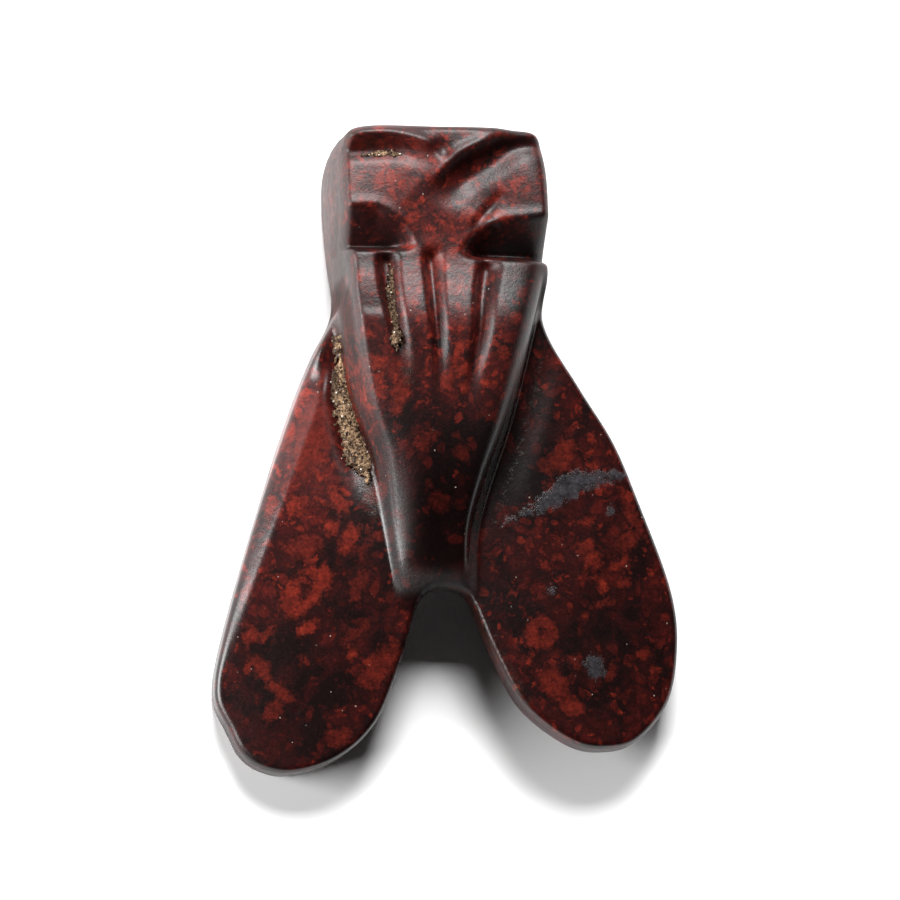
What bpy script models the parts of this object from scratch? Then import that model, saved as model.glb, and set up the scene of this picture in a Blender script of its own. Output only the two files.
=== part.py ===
"""Fly amulet: one small carved stone that lies on the flat of its underside.

The head points to +Y, the wings spread towards -Y and the carved side faces up. Places are given
on a carver's grid: 100 units along from the wing tips to the top of the head, 73.8 units across
the wings, and 100 units up from the underside to the top of the body, which the brows overtop.
Depths and widths of the carving are real sizes.
"""

import math

import bmesh
import bpy
import numpy as np
from mathutils import Vector
from mathutils.geometry import delaunay_2d_cdt
from mathutils.kdtree import KDTree

MM = 0.001

# Overall size
LENGTH = 22.1 * MM
SPAN = 16.3 * MM
HEIGHT = 6.6 * MM

# Wings
WING_ROOT_HEIGHT = 3.3 * MM
WING_EDGE_HEIGHT = 2.05 * MM
WING_THICKNESS = 1.7 * MM
TAIL_THICKNESS = 1.35 * MM
TAIL_REACH = 4.0 * MM
LEFT_TIP_DROOP = 0.95 * MM
RIGHT_TIP_DROOP = 0.15 * MM
WING_DOME = 0.18 * MM
WING_BEVEL_WIDTH = 0.75 * MM
WING_BEVEL_DROP = 0.45 * MM
# Share of the bevel's width left at the tip, where along the edge it is widest, starts and ends
BEVEL_TIP_SHARE = 0.4
BEVEL_WIDEST = 0.8
BEVEL_START = (0.0, 0.6)
BEVEL_END = (0.9, 1.0)

# Channels between the body and the wings, left and right
CHANNEL_DEPTHS = (0.35 * MM, 0.08 * MM)
CHANNEL_WIDTH = 1.7 * MM
CHANNEL_START = (0.0, 0.35)
CHANNEL_END = (0.6, 1.0)

# Roundness of the roof's ridge and of the droop of the tips
SLOPE_START = 0.02
DROOP_CURVE = 1.6

# Thorax: how far each flute spreads to its left and to its right, and its share of the full depth
FLUTE_DEPTH = 0.5 * MM
FLUTE_LEFTS = (0.45 * MM, 0.27 * MM, 0.3 * MM)
FLUTE_RIGHTS = (0.42 * MM, 0.5 * MM, 0.62 * MM)
FLUTE_DEPTHS = (1.0, 0.8, 0.85)
FLUTE_FOOT_SHARE = 0.5
FLUTE_CURVE = 1.4
FACET_DIP = 0.09 * MM
BODY_ROUNDS = (2.2, 5.0)
FLUTE_START = (0.0, 0.08)
FLUTE_END = (0.45, 1.0)
# How far past an arris the body's curve runs on, as a share of the way out to it
MOST_OUT = 1.3

# Head
RECESS_DEPTH = 1.35 * MM
LEDGE_RUN = 0.14 * MM
BROW_RISE = 0.2 * MM
BROW_WIDTH = 0.75 * MM
V_DEPTH = 0.22 * MM
V_WIDTH = 1.1 * MM
LEDGE_BEVEL = 0.3 * MM
LEDGE_BEVEL_DROP = 0.16 * MM

# Rounding of the rims and the bulge of the sides of the head
RIM_WIDTH = 0.34 * MM
HEAD_RIM_HEIGHT = 0.42 * MM
SIDE_RIM_HEIGHT = 1.3 * MM
WING_RIM_HEIGHT = 0.3 * MM
SIDE_BULGE = 0.12 * MM

# Roundness of the grooves' brow side, and the openings over which the recesses deepen, on the grid
GROOVE_CURVE = 1.5
RECESS_OPENING = 4.5
LEAST_OPENING = 0.5
# Inner end of the ground facet and how it dips above its line, on the grid
FACET_INNER = (-13.4, -11.9)
FACET_RISE = (0.0, 1.6)
FACET_FALL = (1.6, 7.0)

# Distance between the points of the surface
FINE = 0.29 * MM
COARSE = 0.55 * MM
WALL_ROWS = 2
# Least gaps to the sharp lines and between points, as shares of that distance
LINE_GAP = 0.35
FIELD_GAP = 0.6
# Rings of points in the rounded rims, as shares of the rim's width inwards
RIM_STEPS = np.array((0.12, 0.45, 1.0))
LOW_RIM_STEPS = np.array((0.25, 1.0))

GRID_ACROSS = 73.8
GRID_ALONG = 100.0
GRID_UP = 100.0

STONE_COLOUR = (0.16, 0.03, 0.022, 1.0)
STONE_ROUGHNESS = 0.3
SHARP_ANGLE = math.radians(35.0)

# Outline seen from above, clockwise from the middle of the top of the head: (across, along)
HEAD_TOP = ((-4.0, 100.0), (7.2, 99.9), (11.5, 99.2))
RIGHT_SIDE = ((12.9, 94.9), (13.4, 79.7), (14.9, 71.0), (20.6, 61.6), (30.3, 43.9), (36.1, 29.0))
RIGHT_TIP = ((36.9, 21.0), (35.2, 11.9), (29.8, 5.6), (25.0, 4.3), (20.2, 4.8))
RIGHT_INNER = ((11.7, 10.5), (6.5, 19.3), (3.4, 26.1))
NOTCH = ((2.0, 28.2), (-0.4, 28.9), (-3.2, 28.7), (-5.1, 26.9))
LEFT_INNER = ((-8.0, 17.5), (-12.2, 7.2), (-18.1, 2.0))
LEFT_TIP = ((-25.3, 0.0), (-30.0, 1.1), (-32.6, 3.2), (-34.4, 6.6), (-36.5, 10.9))
LEFT_WING_SIDE = ((-36.8, 14.0), (-35.9, 19.8), (-30.8, 39.4), (-24.1, 60.1), (-21.3, 67.0))
LEFT_HEAD_SIDE = ((-18.1, 74.0), (-18.9, 83.0), (-19.6, 91.0), (-19.3, 97.0), (-18.1, 99.2))
OUTLINE = (
    HEAD_TOP + RIGHT_SIDE + RIGHT_TIP + RIGHT_INNER + NOTCH
    + LEFT_INNER + LEFT_TIP + LEFT_WING_SIDE + LEFT_HEAD_SIDE
)

# Lines that run up the body: (across, along, up)
SPINE = (
    (-5.0, 24.0, 50.0), (-3.0, 29.0, 54.0), (-3.6, 35.0, 61.0), (-3.8, 45.0, 74.0),
    (-3.5, 57.0, 86.0), (-3.2, 65.5, 95.0), (-3.2, 70.0, 97.5), (-3.5, 80.0, 92.5), (-3.8, 86.0, 95.0),
    (-4.0, 93.0, 99.0), (-4.0, 101.0, 99.0),
)
LEFT_ARRIS = (
    (-8.0, 24.0, 50.0), (-7.9, 29.0, 52.5), (-8.9, 35.0, 57.5), (-10.1, 41.9, 64.0),
    (-11.5, 49.4, 71.0), (-14.3, 56.9, 80.0), (-16.5, 66.0, 91.5), (-17.3, 71.5, 95.0),
    (-18.5, 80.0, 91.0), (-18.8, 87.0, 96.5), (-18.9, 101.0, 96.5),
)
RIGHT_ARRIS = (
    (2.2, 24.0, 50.0), (2.3, 29.0, 52.5), (2.5, 37.6, 57.5), (4.4, 45.6, 64.0),
    (7.2, 54.2, 72.0), (10.7, 67.5, 82.0), (13.0, 78.0, 83.0), (13.2, 87.0, 94.0),
    (12.6, 101.0, 96.0),
)
# Width of the flank between each arris and its foot on the wing, by place along
FLANK_ALONG = (24.0, 35.0, 45.0, 57.0, 70.0, 101.0)
LEFT_FLANK = (2.2, 2.2, 2.0, 2.1, 1.6, 1.4)
RIGHT_FLANK = (2.0, 2.0, 1.8, 1.6, 1.3, 1.2)

# Across places where the slope of each wing starts and ends
LEFT_SLOPE = (-10.0, -36.0)
RIGHT_SLOPE = (4.0, 36.0)
# Along places where the body runs out, where the tips droop and where the underside lifts
BODY_FADE = (24.0, 33.0)
DROOP_START = 42.0
UNDERSIDE_LIFT = (53.0, 38.0)
# Along places where the wings leave the body, and above which the points stand closer
SHOULDER = (72.0, 78.0)
LEFT_SIDE = (-15.0, -17.5)
CROWN = (99.0, 96.0)
# Share of the length up to which the flanks and their arrises run
ARRIS_REACH = 0.775
FINE_FROM = 53.0

# Carving: (across, along) knots of each line
FLUTES = (
    ((-12.3, 80.4), (-11.9, 74.2), (-11.0, 69.1), (-9.9, 65.0), (-8.7, 60.0)),
    ((-5.6, 81.0), (-5.2, 74.8), (-4.8, 69.6), (-4.2, 64.8), (-3.6, 57.0)),
    ((3.6, 79.9), (2.5, 72.7), (2.2, 67.5), (1.5, 62.5), (0.7, 55.5)),
)
LEFT_CHANNEL = ((-18.4, 71.0), (-17.6, 63.4), (-16.4, 55.3), (-14.4, 47.3), (-12.4, 41.0))
RIGHT_CHANNEL = ((15.6, 70.6), (14.0, 64.1), (11.9, 55.9), (9.4, 47.8), (6.6, 39.5))
LEDGE = ((-22.0, 81.1), (-10.5, 81.2), (-5.0, 81.3), (-0.6, 80.2), (15.0, 80.0))
LEFT_RECESS_TOP = ((-22.0, 86.7), (-14.0, 87.0), (-10.0, 84.6), (-7.6, 81.4))
RIGHT_RECESS_TOP = ((-0.8, 80.4), (1.9, 83.6), (6.1, 85.4), (15.0, 86.3))
LEFT_GROOVE = (
    (-22.0, 95.2), (-19.1, 95.6), (-15.8, 95.7), (-12.6, 95.8), (-9.9, 95.4), (-7.9, 94.7), (-5.8, 93.7),
    (-4.5, 92.0),
)
RIGHT_GROOVE = (
    (-3.2, 86.0), (-1.7, 89.4), (0.5, 91.6), (2.7, 93.0), (5.1, 94.5), (6.9, 96.1), (8.8, 97.3),
    (15.0, 98.0),
)
LEFT_BROW = (
    (-22.0, 96.9), (-19.2, 97.5), (-16.0, 98.2), (-12.4, 98.3), (-9.7, 97.9), (-7.5, 97.4), (-5.7, 96.7),
    (-4.6, 95.0),
)
RIGHT_BROW = ((-4.4, 92.2), (-3.3, 93.3), (-0.5, 95.7), (2.5, 97.1), (5.4, 98.3), (15.0, 99.3))
# Each groove's line, depth, width on the brow's side, width and share of the steep lip on the eye's
# side, width of the eye's facet, and where along the line it rises from nothing and falls to it
GROOVES = (
    (LEFT_GROOVE, 0.5 * MM, 0.55 * MM, 0.35 * MM, 0.35, 2.0 * MM, (-0.2, 0.0), (0.45, 1.0)),
    (RIGHT_GROOVE, 0.6 * MM, 1.0 * MM, 0.5 * MM, 0.28, 2.4 * MM, (0.0, 0.3), (1.0, 1.2)),
)
V_PLACE = (-4.5, 95.8)
V_PLACE = (-4.5, 95.8)
FACET_LINE = ((-20.0, 69.8), (-13.4, 69.4))

def to_metres(places):
    """Real places of knots on the carver's grid."""
    unit = np.array((SPAN / GRID_ACROSS, LENGTH / GRID_ALONG, HEIGHT / GRID_UP))
    places = np.array(places, float)
    return places * unit[: places.shape[-1]]


def ease(low, high, value):
    """0 at low, 1 at high and smooth between."""
    share = np.clip((value - low) / (high - low), 0.0, 1.0)
    return share * share * (3.0 - 2.0 * share)


def smooth_line(knots, step, closed=False):
    """Points about a step apart on a centripetal Catmull-Rom curve through the knots."""
    knots = np.asarray(knots, float)
    if closed:
        padded = np.vstack([knots[-1:], knots, knots[:2]])
    else:
        padded = np.vstack([2 * knots[:1] - knots[1:2], knots, 2 * knots[-1:] - knots[-2:-1]])
    points = []
    for before, start, end, after in zip(padded, padded[1:], padded[2:], padded[3:]):
        lead, span, tail = (
            math.sqrt(np.linalg.norm(b - a)) for a, b in ((before, start), (start, end), (end, after))
        )
        chord = (end - start) / span
        leave = span * ((start - before) / lead - (end - before) / (lead + span) + chord)
        arrive = span * (chord - (after - start) / (span + tail) + (after - end) / tail)
        pieces = max(1, round(np.linalg.norm((end - start)[:2]) / step))
        for t in np.arange(pieces) / pieces:
            points.append(
                (2 * t**3 - 3 * t**2 + 1) * start + (t**3 - 2 * t**2 + t) * leave
                + (3 * t**2 - 2 * t**3) * end + (t**3 - t**2) * arrive
            )
    if not closed:
        points.append(knots[-1])
    return np.array(points)


def carved_line(knots, step=0.25 * MM):
    """A smooth line through knots given on the carver's grid."""
    return smooth_line(to_metres(knots), step)


def nearest_on(line, places):
    """Distance to a line, the share of it reached there, and the side: 1 on its left, -1 on its right."""
    start, run = line[:-1, :2], np.diff(line[:, :2], axis=0)
    offset = places[:, None, :] - start
    share = np.clip((offset * run).sum(-1) / (run * run).sum(-1), 0.0, 1.0)
    gap = np.linalg.norm(offset - share[..., None] * run, axis=-1)
    piece = gap.argmin(1)
    row = np.arange(len(places))
    reach = (piece + share[row, piece]) / len(run)
    nearest = offset[row, piece]
    side = np.sign(run[piece, 0] * nearest[:, 1] - run[piece, 1] * nearest[:, 0])
    return gap[row, piece], reach, side


def round_cut(distance, width):
    """Cross-section of a rounded cut or ridge: 1 in its middle and 0 from half its width out."""
    return 0.5 + 0.5 * np.cos(np.pi * np.clip(2.0 * distance / width, 0.0, 1.0))


def across_at(line, along, column=0):
    """Where a line that runs up the body stands, at each place along."""
    return np.interp(along, line[:, 1], line[:, column])


def wing_sheet(across, along):
    """Top of the two wings, which slope down and outwards like a roof."""
    grid_across = across / (SPAN / GRID_ACROSS)
    grid_along = along / (LENGTH / GRID_ALONG)
    left = (grid_across - LEFT_SLOPE[0]) / (LEFT_SLOPE[1] - LEFT_SLOPE[0])
    right = (grid_across - RIGHT_SLOPE[0]) / (RIGHT_SLOPE[1] - RIGHT_SLOPE[0])
    out = sum(0.5 * (side + np.sqrt(side**2 + SLOPE_START)) for side in (left, right))
    height = WING_ROOT_HEIGHT + (WING_EDGE_HEIGHT - WING_ROOT_HEIGHT) * out
    height += WING_DOME * np.sin(np.pi * np.clip(out, 0.0, 1.0))
    droop = np.clip(1.0 - grid_along / DROOP_START, 0.0, 1.0) ** DROOP_CURVE
    return height - droop * np.where(left > right, LEFT_TIP_DROOP, RIGHT_TIP_DROOP)


def body_sheet(across, along):
    """Top of the head, thorax and abdomen between the two arrises, before the carving."""
    spine, left, right = (carved_line(knots) for knots in (SPINE, LEFT_ARRIS, RIGHT_ARRIS))
    centre, crest = across_at(spine, along), across_at(spine, along, 2)
    height = np.zeros_like(across)
    for line, sign, power in ((left, -1, BODY_ROUNDS[0]), (right, 1, BODY_ROUNDS[1])):
        out = np.clip((across - centre) / (across_at(line, along) - centre), 0.0, MOST_OUT)
        fall = (crest - across_at(line, along, 2)) * out**power
        height = np.where((across - centre) * sign >= 0, crest - fall, height)
    return height


def flank_share(across, along):
    """1 on the body, 0 on the wings, and between them on the steep flanks."""
    grid_along = along / (LENGTH / GRID_ALONG)
    shares = []
    for knots, widths, sign in ((LEFT_ARRIS, LEFT_FLANK, 1), (RIGHT_ARRIS, RIGHT_FLANK, -1)):
        arris = across_at(carved_line(knots), along)
        width = np.interp(grid_along, FLANK_ALONG, widths) * SPAN / GRID_ACROSS
        shares.append(np.clip(1.0 + sign * (across - arris) / width, 0.0, 1.0))
    on_body = np.maximum(np.minimum(*shares), ease(*SHOULDER, grid_along))
    return on_body * ease(*BODY_FADE, grid_along)


def head_carving(places, grid_across, grid_along):
    """Rise of the brows, less the grooves and eye facets under them and the recesses under the eyes."""
    change = np.zeros(len(places))
    for knots in (LEFT_BROW, RIGHT_BROW):
        change += BROW_RISE * round_cut(nearest_on(carved_line(knots), places)[0], BROW_WIDTH)
    for knots, depth, brow_width, lip_width, lip_share, facet, rise, fall in GROOVES:
        distance, reach, side = nearest_on(carved_line(knots), places)
        brow_side = np.clip(1.0 - (distance / brow_width) ** 2, 0.0, 1.0) ** GROOVE_CURVE
        lip = np.clip(1.0 - distance / lip_width, 0.0, 1.0)
        eye_side = lip_share * lip + (1.0 - lip_share) * np.clip(1.0 - distance / facet, 0.0, 1.0)
        strength = ease(*rise, reach) * (1.0 - ease(*fall, reach))
        change -= depth * strength * np.where(side > 0, brow_side, eye_side)
    change -= V_DEPTH * round_cut(np.linalg.norm(places - to_metres(V_PLACE), axis=1), V_WIDTH)
    ledge = np.interp(grid_across, *np.array(LEDGE).T)
    unit = LENGTH / GRID_ALONG
    riser = ease(-LEDGE_RUN, 0.0, (grid_along - ledge) * unit)
    bevel = np.clip(1.0 - (ledge - grid_along) * unit / LEDGE_BEVEL, 0.0, 1.0) * (1.0 - riser)
    for knots in (LEFT_RECESS_TOP, RIGHT_RECESS_TOP):
        top = np.interp(grid_across, *np.array(knots).T, left=ledge.min(), right=ledge.min())
        open_here = ease(0.0, RECESS_OPENING, top - ledge)
        depth = np.clip((top - grid_along) / np.maximum(top - ledge, LEAST_OPENING), 0.0, 1.0)
        change -= (RECESS_DEPTH * depth * riser + LEDGE_BEVEL_DROP * bevel) * open_here
    return change


def thorax_carving(places, grid_across, grid_along):
    """Depth of the three flutes and of the facet ground on the ridge at the left."""
    depth = np.zeros(len(places))
    for knots, left, right, share in zip(FLUTES, FLUTE_LEFTS, FLUTE_RIGHTS, FLUTE_DEPTHS):
        distance, reach, side = nearest_on(carved_line(knots), places)
        width = np.where(side > 0, right, left) * (1.0 - (1.0 - FLUTE_FOOT_SHARE) * reach)
        fade = ease(*FLUTE_START, reach) * (1.0 - ease(*FLUTE_END, reach))
        cut = np.clip(1.0 - (distance / width) ** 2, 0.0, 1.0) ** FLUTE_CURVE
        depth = np.maximum(depth, FLUTE_DEPTH * share * fade * cut)
    above = grid_along - np.interp(grid_across, *np.array(FACET_LINE).T)
    facet_side = 1.0 - ease(*FACET_INNER, grid_across)
    dip = ease(*FACET_RISE, above) * (1.0 - ease(*FACET_FALL, above))
    return -(depth + FACET_DIP * facet_side * dip)


def channel_carving(places):
    """Depth of the worn channels at the feet of the flanks."""
    depth = np.zeros(len(places))
    for knots, full_depth in zip((LEFT_CHANNEL, RIGHT_CHANNEL), CHANNEL_DEPTHS):
        distance, reach, _ = nearest_on(carved_line(knots), places)
        fade = ease(*CHANNEL_START, reach) * (1.0 - ease(*CHANNEL_END, reach))
        depth += full_depth * fade * round_cut(distance, CHANNEL_WIDTH)
    return -depth


def wing_bevel(places):
    """Depth of the bevel along the outer edge of the left wing."""
    knots = to_metres(LEFT_TIP[-1:] + LEFT_WING_SIDE)
    distance, reach, _ = nearest_on(smooth_line(knots, 0.25 * MM), places)
    taper = BEVEL_TIP_SHARE + (1.0 - BEVEL_TIP_SHARE) * ease(0.0, BEVEL_WIDEST, reach)
    width = WING_BEVEL_WIDTH * taper
    fade = ease(*BEVEL_START, reach) * (1.0 - ease(*BEVEL_END, reach))
    return -WING_BEVEL_DROP * fade * np.clip(1.0 - distance / width, 0.0, 1.0)


def rim_drop(distance, height):
    """Fall of the surface where it rounds over within the rim's width of the outline."""
    inward = np.clip(1.0 - distance / RIM_WIDTH, 0.0, 1.0)
    return height * (1.0 - np.sqrt(1.0 - inward**2))


def top_height(places, rim_distance):
    """Height of the carved side at each place."""
    across, along = places.T
    grid_across = across / (SPAN / GRID_ACROSS)
    grid_along = along / (LENGTH / GRID_ALONG)
    body = body_sheet(across, along)
    body += head_carving(places, grid_across, grid_along)
    body += thorax_carving(places, grid_across, grid_along)
    wings = wing_sheet(across, along) + channel_carving(places) + wing_bevel(places)
    on_body = flank_share(across, along)
    rim = WING_RIM_HEIGHT + (HEAD_RIM_HEIGHT - WING_RIM_HEIGHT) * on_body
    on_side = ease(*LEFT_SIDE, grid_across) * ease(*SHOULDER, grid_along) * ease(*CROWN, grid_along)
    rim += (SIDE_RIM_HEIGHT - HEAD_RIM_HEIGHT) * on_side
    return wings + (body - wings) * on_body - rim_drop(rim_distance, rim)


def underside_height(places, rim_distance):
    """Height of the underside: flat under the head and thorax, lifted under the tail and wings."""
    across, along = places.T
    grid_along = along / (LENGTH / GRID_ALONG)
    lift = 1.0 - ease(UNDERSIDE_LIFT[1], UNDERSIDE_LIFT[0], grid_along)
    notch = to_metres(NOTCH)
    near_tail = 1.0 - ease(0.0, TAIL_REACH, nearest_on(notch, places)[0])
    thickness = WING_THICKNESS + (TAIL_THICKNESS - WING_THICKNESS) * near_tail
    sheet = np.clip(wing_sheet(across, along) - thickness, 0.0, None)
    rim = HEAD_RIM_HEIGHT + (WING_RIM_HEIGHT - HEAD_RIM_HEIGHT) * lift
    return sheet * lift + rim_drop(rim_distance, rim)


def distances(places, ring):
    """Distance from each place to a closed ring of points."""
    closed = np.vstack([ring, ring[:1]])
    found = [nearest_on(closed, part)[0] for part in np.array_split(places, 1 + len(places) // 2000)]
    return np.concatenate(found)


def scattered(ring, spacing, wanted):
    """Places of an even triangular pattern inside the ring, where they are wanted."""
    low, high = ring.min(axis=0), ring.max(axis=0)
    row_gap = spacing * math.sqrt(3) / 2
    places = []
    for row in range(int((high[1] - low[1]) / row_gap) + 1):
        for column in range(int((high[0] - low[0]) / spacing) + 1):
            places.append((low[0] + (column + row % 2 / 2) * spacing, low[1] + row * row_gap))
    places = np.array(places)
    return places[wanted(places)]


def rim_rings(ring, insets):
    """Places at each inset from the outline, left out where another stretch of it is nearer."""
    tangent = np.roll(ring, -1, axis=0) - np.roll(ring, 1, axis=0)
    tangent /= np.linalg.norm(tangent, axis=1)[:, None]
    inward = np.column_stack([tangent[:, 1], -tangent[:, 0]])
    kept = []
    for inset in insets:
        places = ring + inward * inset
        kept.append(places[distances(places, ring) > 0.96 * inset])
    return np.vstack(kept)


def apart_from(places, taken, gap):
    """The places that are no nearer than a gap to those taken."""
    tree = KDTree(len(taken))
    for index, place in enumerate(taken):
        tree.insert((place[0], place[1], 0.0), index)
    tree.balance()
    return np.array([p for p in places if tree.find((p[0], p[1], 0.0))[2] >= gap])


def triangulated(ring, lines, places):
    """Constrained triangulation inside the ring: its places and its triangles."""
    points = [Vector(p) for p in ring]
    edges = []
    for line in lines:
        start = len(points)
        points += [Vector(p) for p in line]
        edges += [(i, i + 1) for i in range(start, len(points) - 1)]
    points += [Vector(p) for p in places]
    faces = [list(range(len(ring)))]
    result = delaunay_2d_cdt(points, edges, faces, 1, 1e-7)
    return np.array([tuple(p) for p in result[0]]), [tuple(face) for face in result[2]]


def boundary_loop(triangles):
    """Indices of the points round the edge of a sheet of triangles, in order."""
    edges = {(a, b) for face in triangles for a, b in zip(face, face[1:] + face[:1])}
    follows = {a: b for a, b in edges if (b, a) not in edges}
    loop = [min(follows)]
    while follows[loop[-1]] != loop[0]:
        loop.append(follows[loop[-1]])
    return loop


def feature_lines():
    """Lines of the carving that the surface keeps sharp."""
    unit = SPAN / GRID_ACROSS
    lines = []
    for knots, widths, sign in ((LEFT_ARRIS, LEFT_FLANK, -1), (RIGHT_ARRIS, RIGHT_FLANK, 1)):
        arris = carved_line(knots, FINE)
        arris = arris[arris[:, 1] < LENGTH * ARRIS_REACH, :2]
        width = np.interp(arris[:, 1] / (LENGTH / GRID_ALONG), FLANK_ALONG, widths) * unit
        lines += [arris, arris + np.column_stack([sign * width, 0 * width])]
    ledge = carved_line(LEDGE, FINE)
    lines += [ledge, ledge - (0.0, LEDGE_RUN)]
    for knots in (LEFT_BROW, RIGHT_BROW, LEFT_GROOVE, RIGHT_GROOVE, LEFT_RECESS_TOP, RIGHT_RECESS_TOP):
        lines.append(carved_line(knots, FINE))
    for knots, left, right in zip(FLUTES, FLUTE_LEFTS, FLUTE_RIGHTS):
        valley = carved_line(knots, FINE)
        taper = 1.0 - (1.0 - FLUTE_FOOT_SHARE) * np.linspace(0.0, 1.0, len(valley))
        sides = [valley + np.column_stack([half * taper, 0 * taper]) for half in (-left, right)]
        lines += [valley] + sides
    return lines


def wall_row(upper, lower, share):
    """One row of the wall, a share of the way down, bulging on the sides of the head."""
    row = upper + (lower - upper) * share
    run = np.roll(row, -1, axis=0) - np.roll(row, 1, axis=0)
    outward = np.column_stack([run[:, 1], -run[:, 0]]) / np.linalg.norm(run[:, :2], axis=1)[:, None]
    on_head = ease(*SHOULDER, row[:, 1] / (LENGTH / GRID_ALONG))
    bulge = SIDE_BULGE * math.sin(math.pi * share) * np.abs(outward[:, 0]) * on_head
    row[:, :2] += outward * bulge[:, None]
    return row


def inside(line, ring, gap):
    """The stretch of a line that lies inside the outline, clear of it by a gap."""
    closed = np.vstack([ring, ring[:1]])
    distance, _, side = nearest_on(closed, line)
    return line[(side < 0) & (distance > gap)]


def stone_surface():
    """Points and faces of the whole stone: carved side, underside and the wall between them."""
    ring = smooth_line(to_metres(OUTLINE), FINE, closed=True)
    lines = [inside(line, ring, LINE_GAP * FINE) for line in feature_lines()]
    fine_from = LENGTH * FINE_FROM / GRID_ALONG
    field = np.vstack([
        scattered(ring, FINE, lambda p: p[:, 1] >= fine_from),
        scattered(ring, COARSE, lambda p: p[:, 1] < fine_from),
    ])
    rings = rim_rings(ring, RIM_WIDTH * RIM_STEPS)
    rings = apart_from(rings, np.vstack(lines), LINE_GAP * FINE)
    field = inside(field, ring, RIM_WIDTH + LINE_GAP * FINE)
    field = apart_from(field, np.vstack(lines + [rings]), FIELD_GAP * FINE)
    top, top_faces = triangulated(ring, lines, np.vstack([rings, field]))
    loop = boundary_loop(top_faces)
    edge = top[loop][::-1]

    low_rings = rim_rings(edge, RIM_WIDTH * LOW_RIM_STEPS)
    low_field = inside(scattered(ring, COARSE, lambda p: p[:, 1] > 0.0), edge, RIM_WIDTH + LINE_GAP * COARSE)
    low, low_faces = triangulated(edge, [], np.vstack([low_rings, low_field]))
    found = {tuple(place): index for index, place in enumerate(low)}
    low_loop = [found[tuple(place)] for place in top[loop]]

    top_points = np.column_stack([top, top_height(top, distances(top, edge))])
    low_points = np.column_stack([low, underside_height(low, distances(low, edge))])
    rows, points = [loop], [top_points]
    start = len(top_points)
    for step in range(1, WALL_ROWS + 1):
        points.append(wall_row(top_points[loop], low_points[low_loop], step / (WALL_ROWS + 1)))
        rows.append(list(range(start, start + len(loop))))
        start += len(loop)
    rows.append([start + index for index in low_loop])
    points.append(low_points)

    faces = top_faces + [tuple(start + index for index in face[::-1]) for face in low_faces]
    for upper, lower in zip(rows, rows[1:]):
        for a, b, c, d in zip(upper, lower, lower[1:] + lower[:1], upper[1:] + upper[:1]):
            faces.append((a, b, c, d))
    return np.vstack(points), faces


def clear_scene():
    for obj in list(bpy.data.objects):
        bpy.data.objects.remove(obj, do_unlink=True)


def stone_material():
    material = bpy.data.materials.new("mottled_red_stone")
    material.use_nodes = True
    shader = material.node_tree.nodes["Principled BSDF"]
    shader.inputs["Base Color"].default_value = STONE_COLOUR
    shader.inputs["Roughness"].default_value = STONE_ROUGHNESS
    shader.inputs["Metallic"].default_value = 0.0
    return material


def carve_fly():
    """The stone as one object, its origin under the middle of its box."""
    points, faces = stone_surface()
    middle = (points.min(axis=0) + points.max(axis=0)) / 2
    middle[2] = 0.0
    mesh = bpy.data.meshes.new("fly_amulet")
    mesh.from_pydata([tuple(point) for point in points - middle], [], faces)
    shape = bmesh.new()
    shape.from_mesh(mesh)
    bmesh.ops.triangulate(shape, faces=[f for f in shape.faces if len(f.verts) > 3])
    shape.to_mesh(mesh)
    shape.free()
    mesh.shade_smooth()
    mesh.set_sharp_from_angle(angle=SHARP_ANGLE)
    mesh.materials.append(stone_material())
    fly = bpy.data.objects.new("fly_amulet", mesh)
    bpy.context.scene.collection.objects.link(fly)
    return fly


clear_scene()
carve_fly()
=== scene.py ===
"""Fly amulet in polished mottled red stone: fine carving, soil left in the cuts, floor, light and camera.

Places on the stone are given on a carver's grid, as hundredths of its length along from the wing
tips, 73.8 of the same units across the wings, and hundredths of the body's height up.
"""

import math

import bmesh
import bpy
import numpy as np
from mathutils import Matrix, Vector, noise
from mathutils.geometry import delaunay_2d_cdt
from mathutils.kdtree import KDTree


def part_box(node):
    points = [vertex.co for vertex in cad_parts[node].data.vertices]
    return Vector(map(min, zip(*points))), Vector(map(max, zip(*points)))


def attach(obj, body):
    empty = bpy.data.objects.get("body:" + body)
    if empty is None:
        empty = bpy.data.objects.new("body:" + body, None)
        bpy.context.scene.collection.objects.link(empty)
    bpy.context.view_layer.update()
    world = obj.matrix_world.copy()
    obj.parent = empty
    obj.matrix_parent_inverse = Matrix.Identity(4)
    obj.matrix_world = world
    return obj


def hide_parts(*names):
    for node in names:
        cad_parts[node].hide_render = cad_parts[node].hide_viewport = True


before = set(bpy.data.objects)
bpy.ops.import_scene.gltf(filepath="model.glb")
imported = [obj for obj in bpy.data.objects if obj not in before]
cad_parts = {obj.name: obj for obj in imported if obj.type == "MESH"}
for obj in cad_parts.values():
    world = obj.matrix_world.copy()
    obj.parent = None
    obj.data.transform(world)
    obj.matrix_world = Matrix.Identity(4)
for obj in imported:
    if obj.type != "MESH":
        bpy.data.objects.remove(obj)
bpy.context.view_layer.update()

bl_info = {
    "name": "Fly Amulet",
    "version": (1, 0, 0),
    "blender": (4, 5, 0),
    "location": "3D View > Sidebar > Fly Amulet",
    "description": "Carves and finishes a small stone fly amulet with soil in its cuts",
    "category": "Add Mesh",
}

MM = 0.001
NODE = "fly_amulet"
BODY = "root"
NODE_LOW, NODE_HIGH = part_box(NODE)
# The raised brows are what stands above the body's own height
BODY_SHARE = 0.979

GRID_ACROSS = 73.8
GRID_ALONG = 100.0
GRID_UP = 100.0

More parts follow.
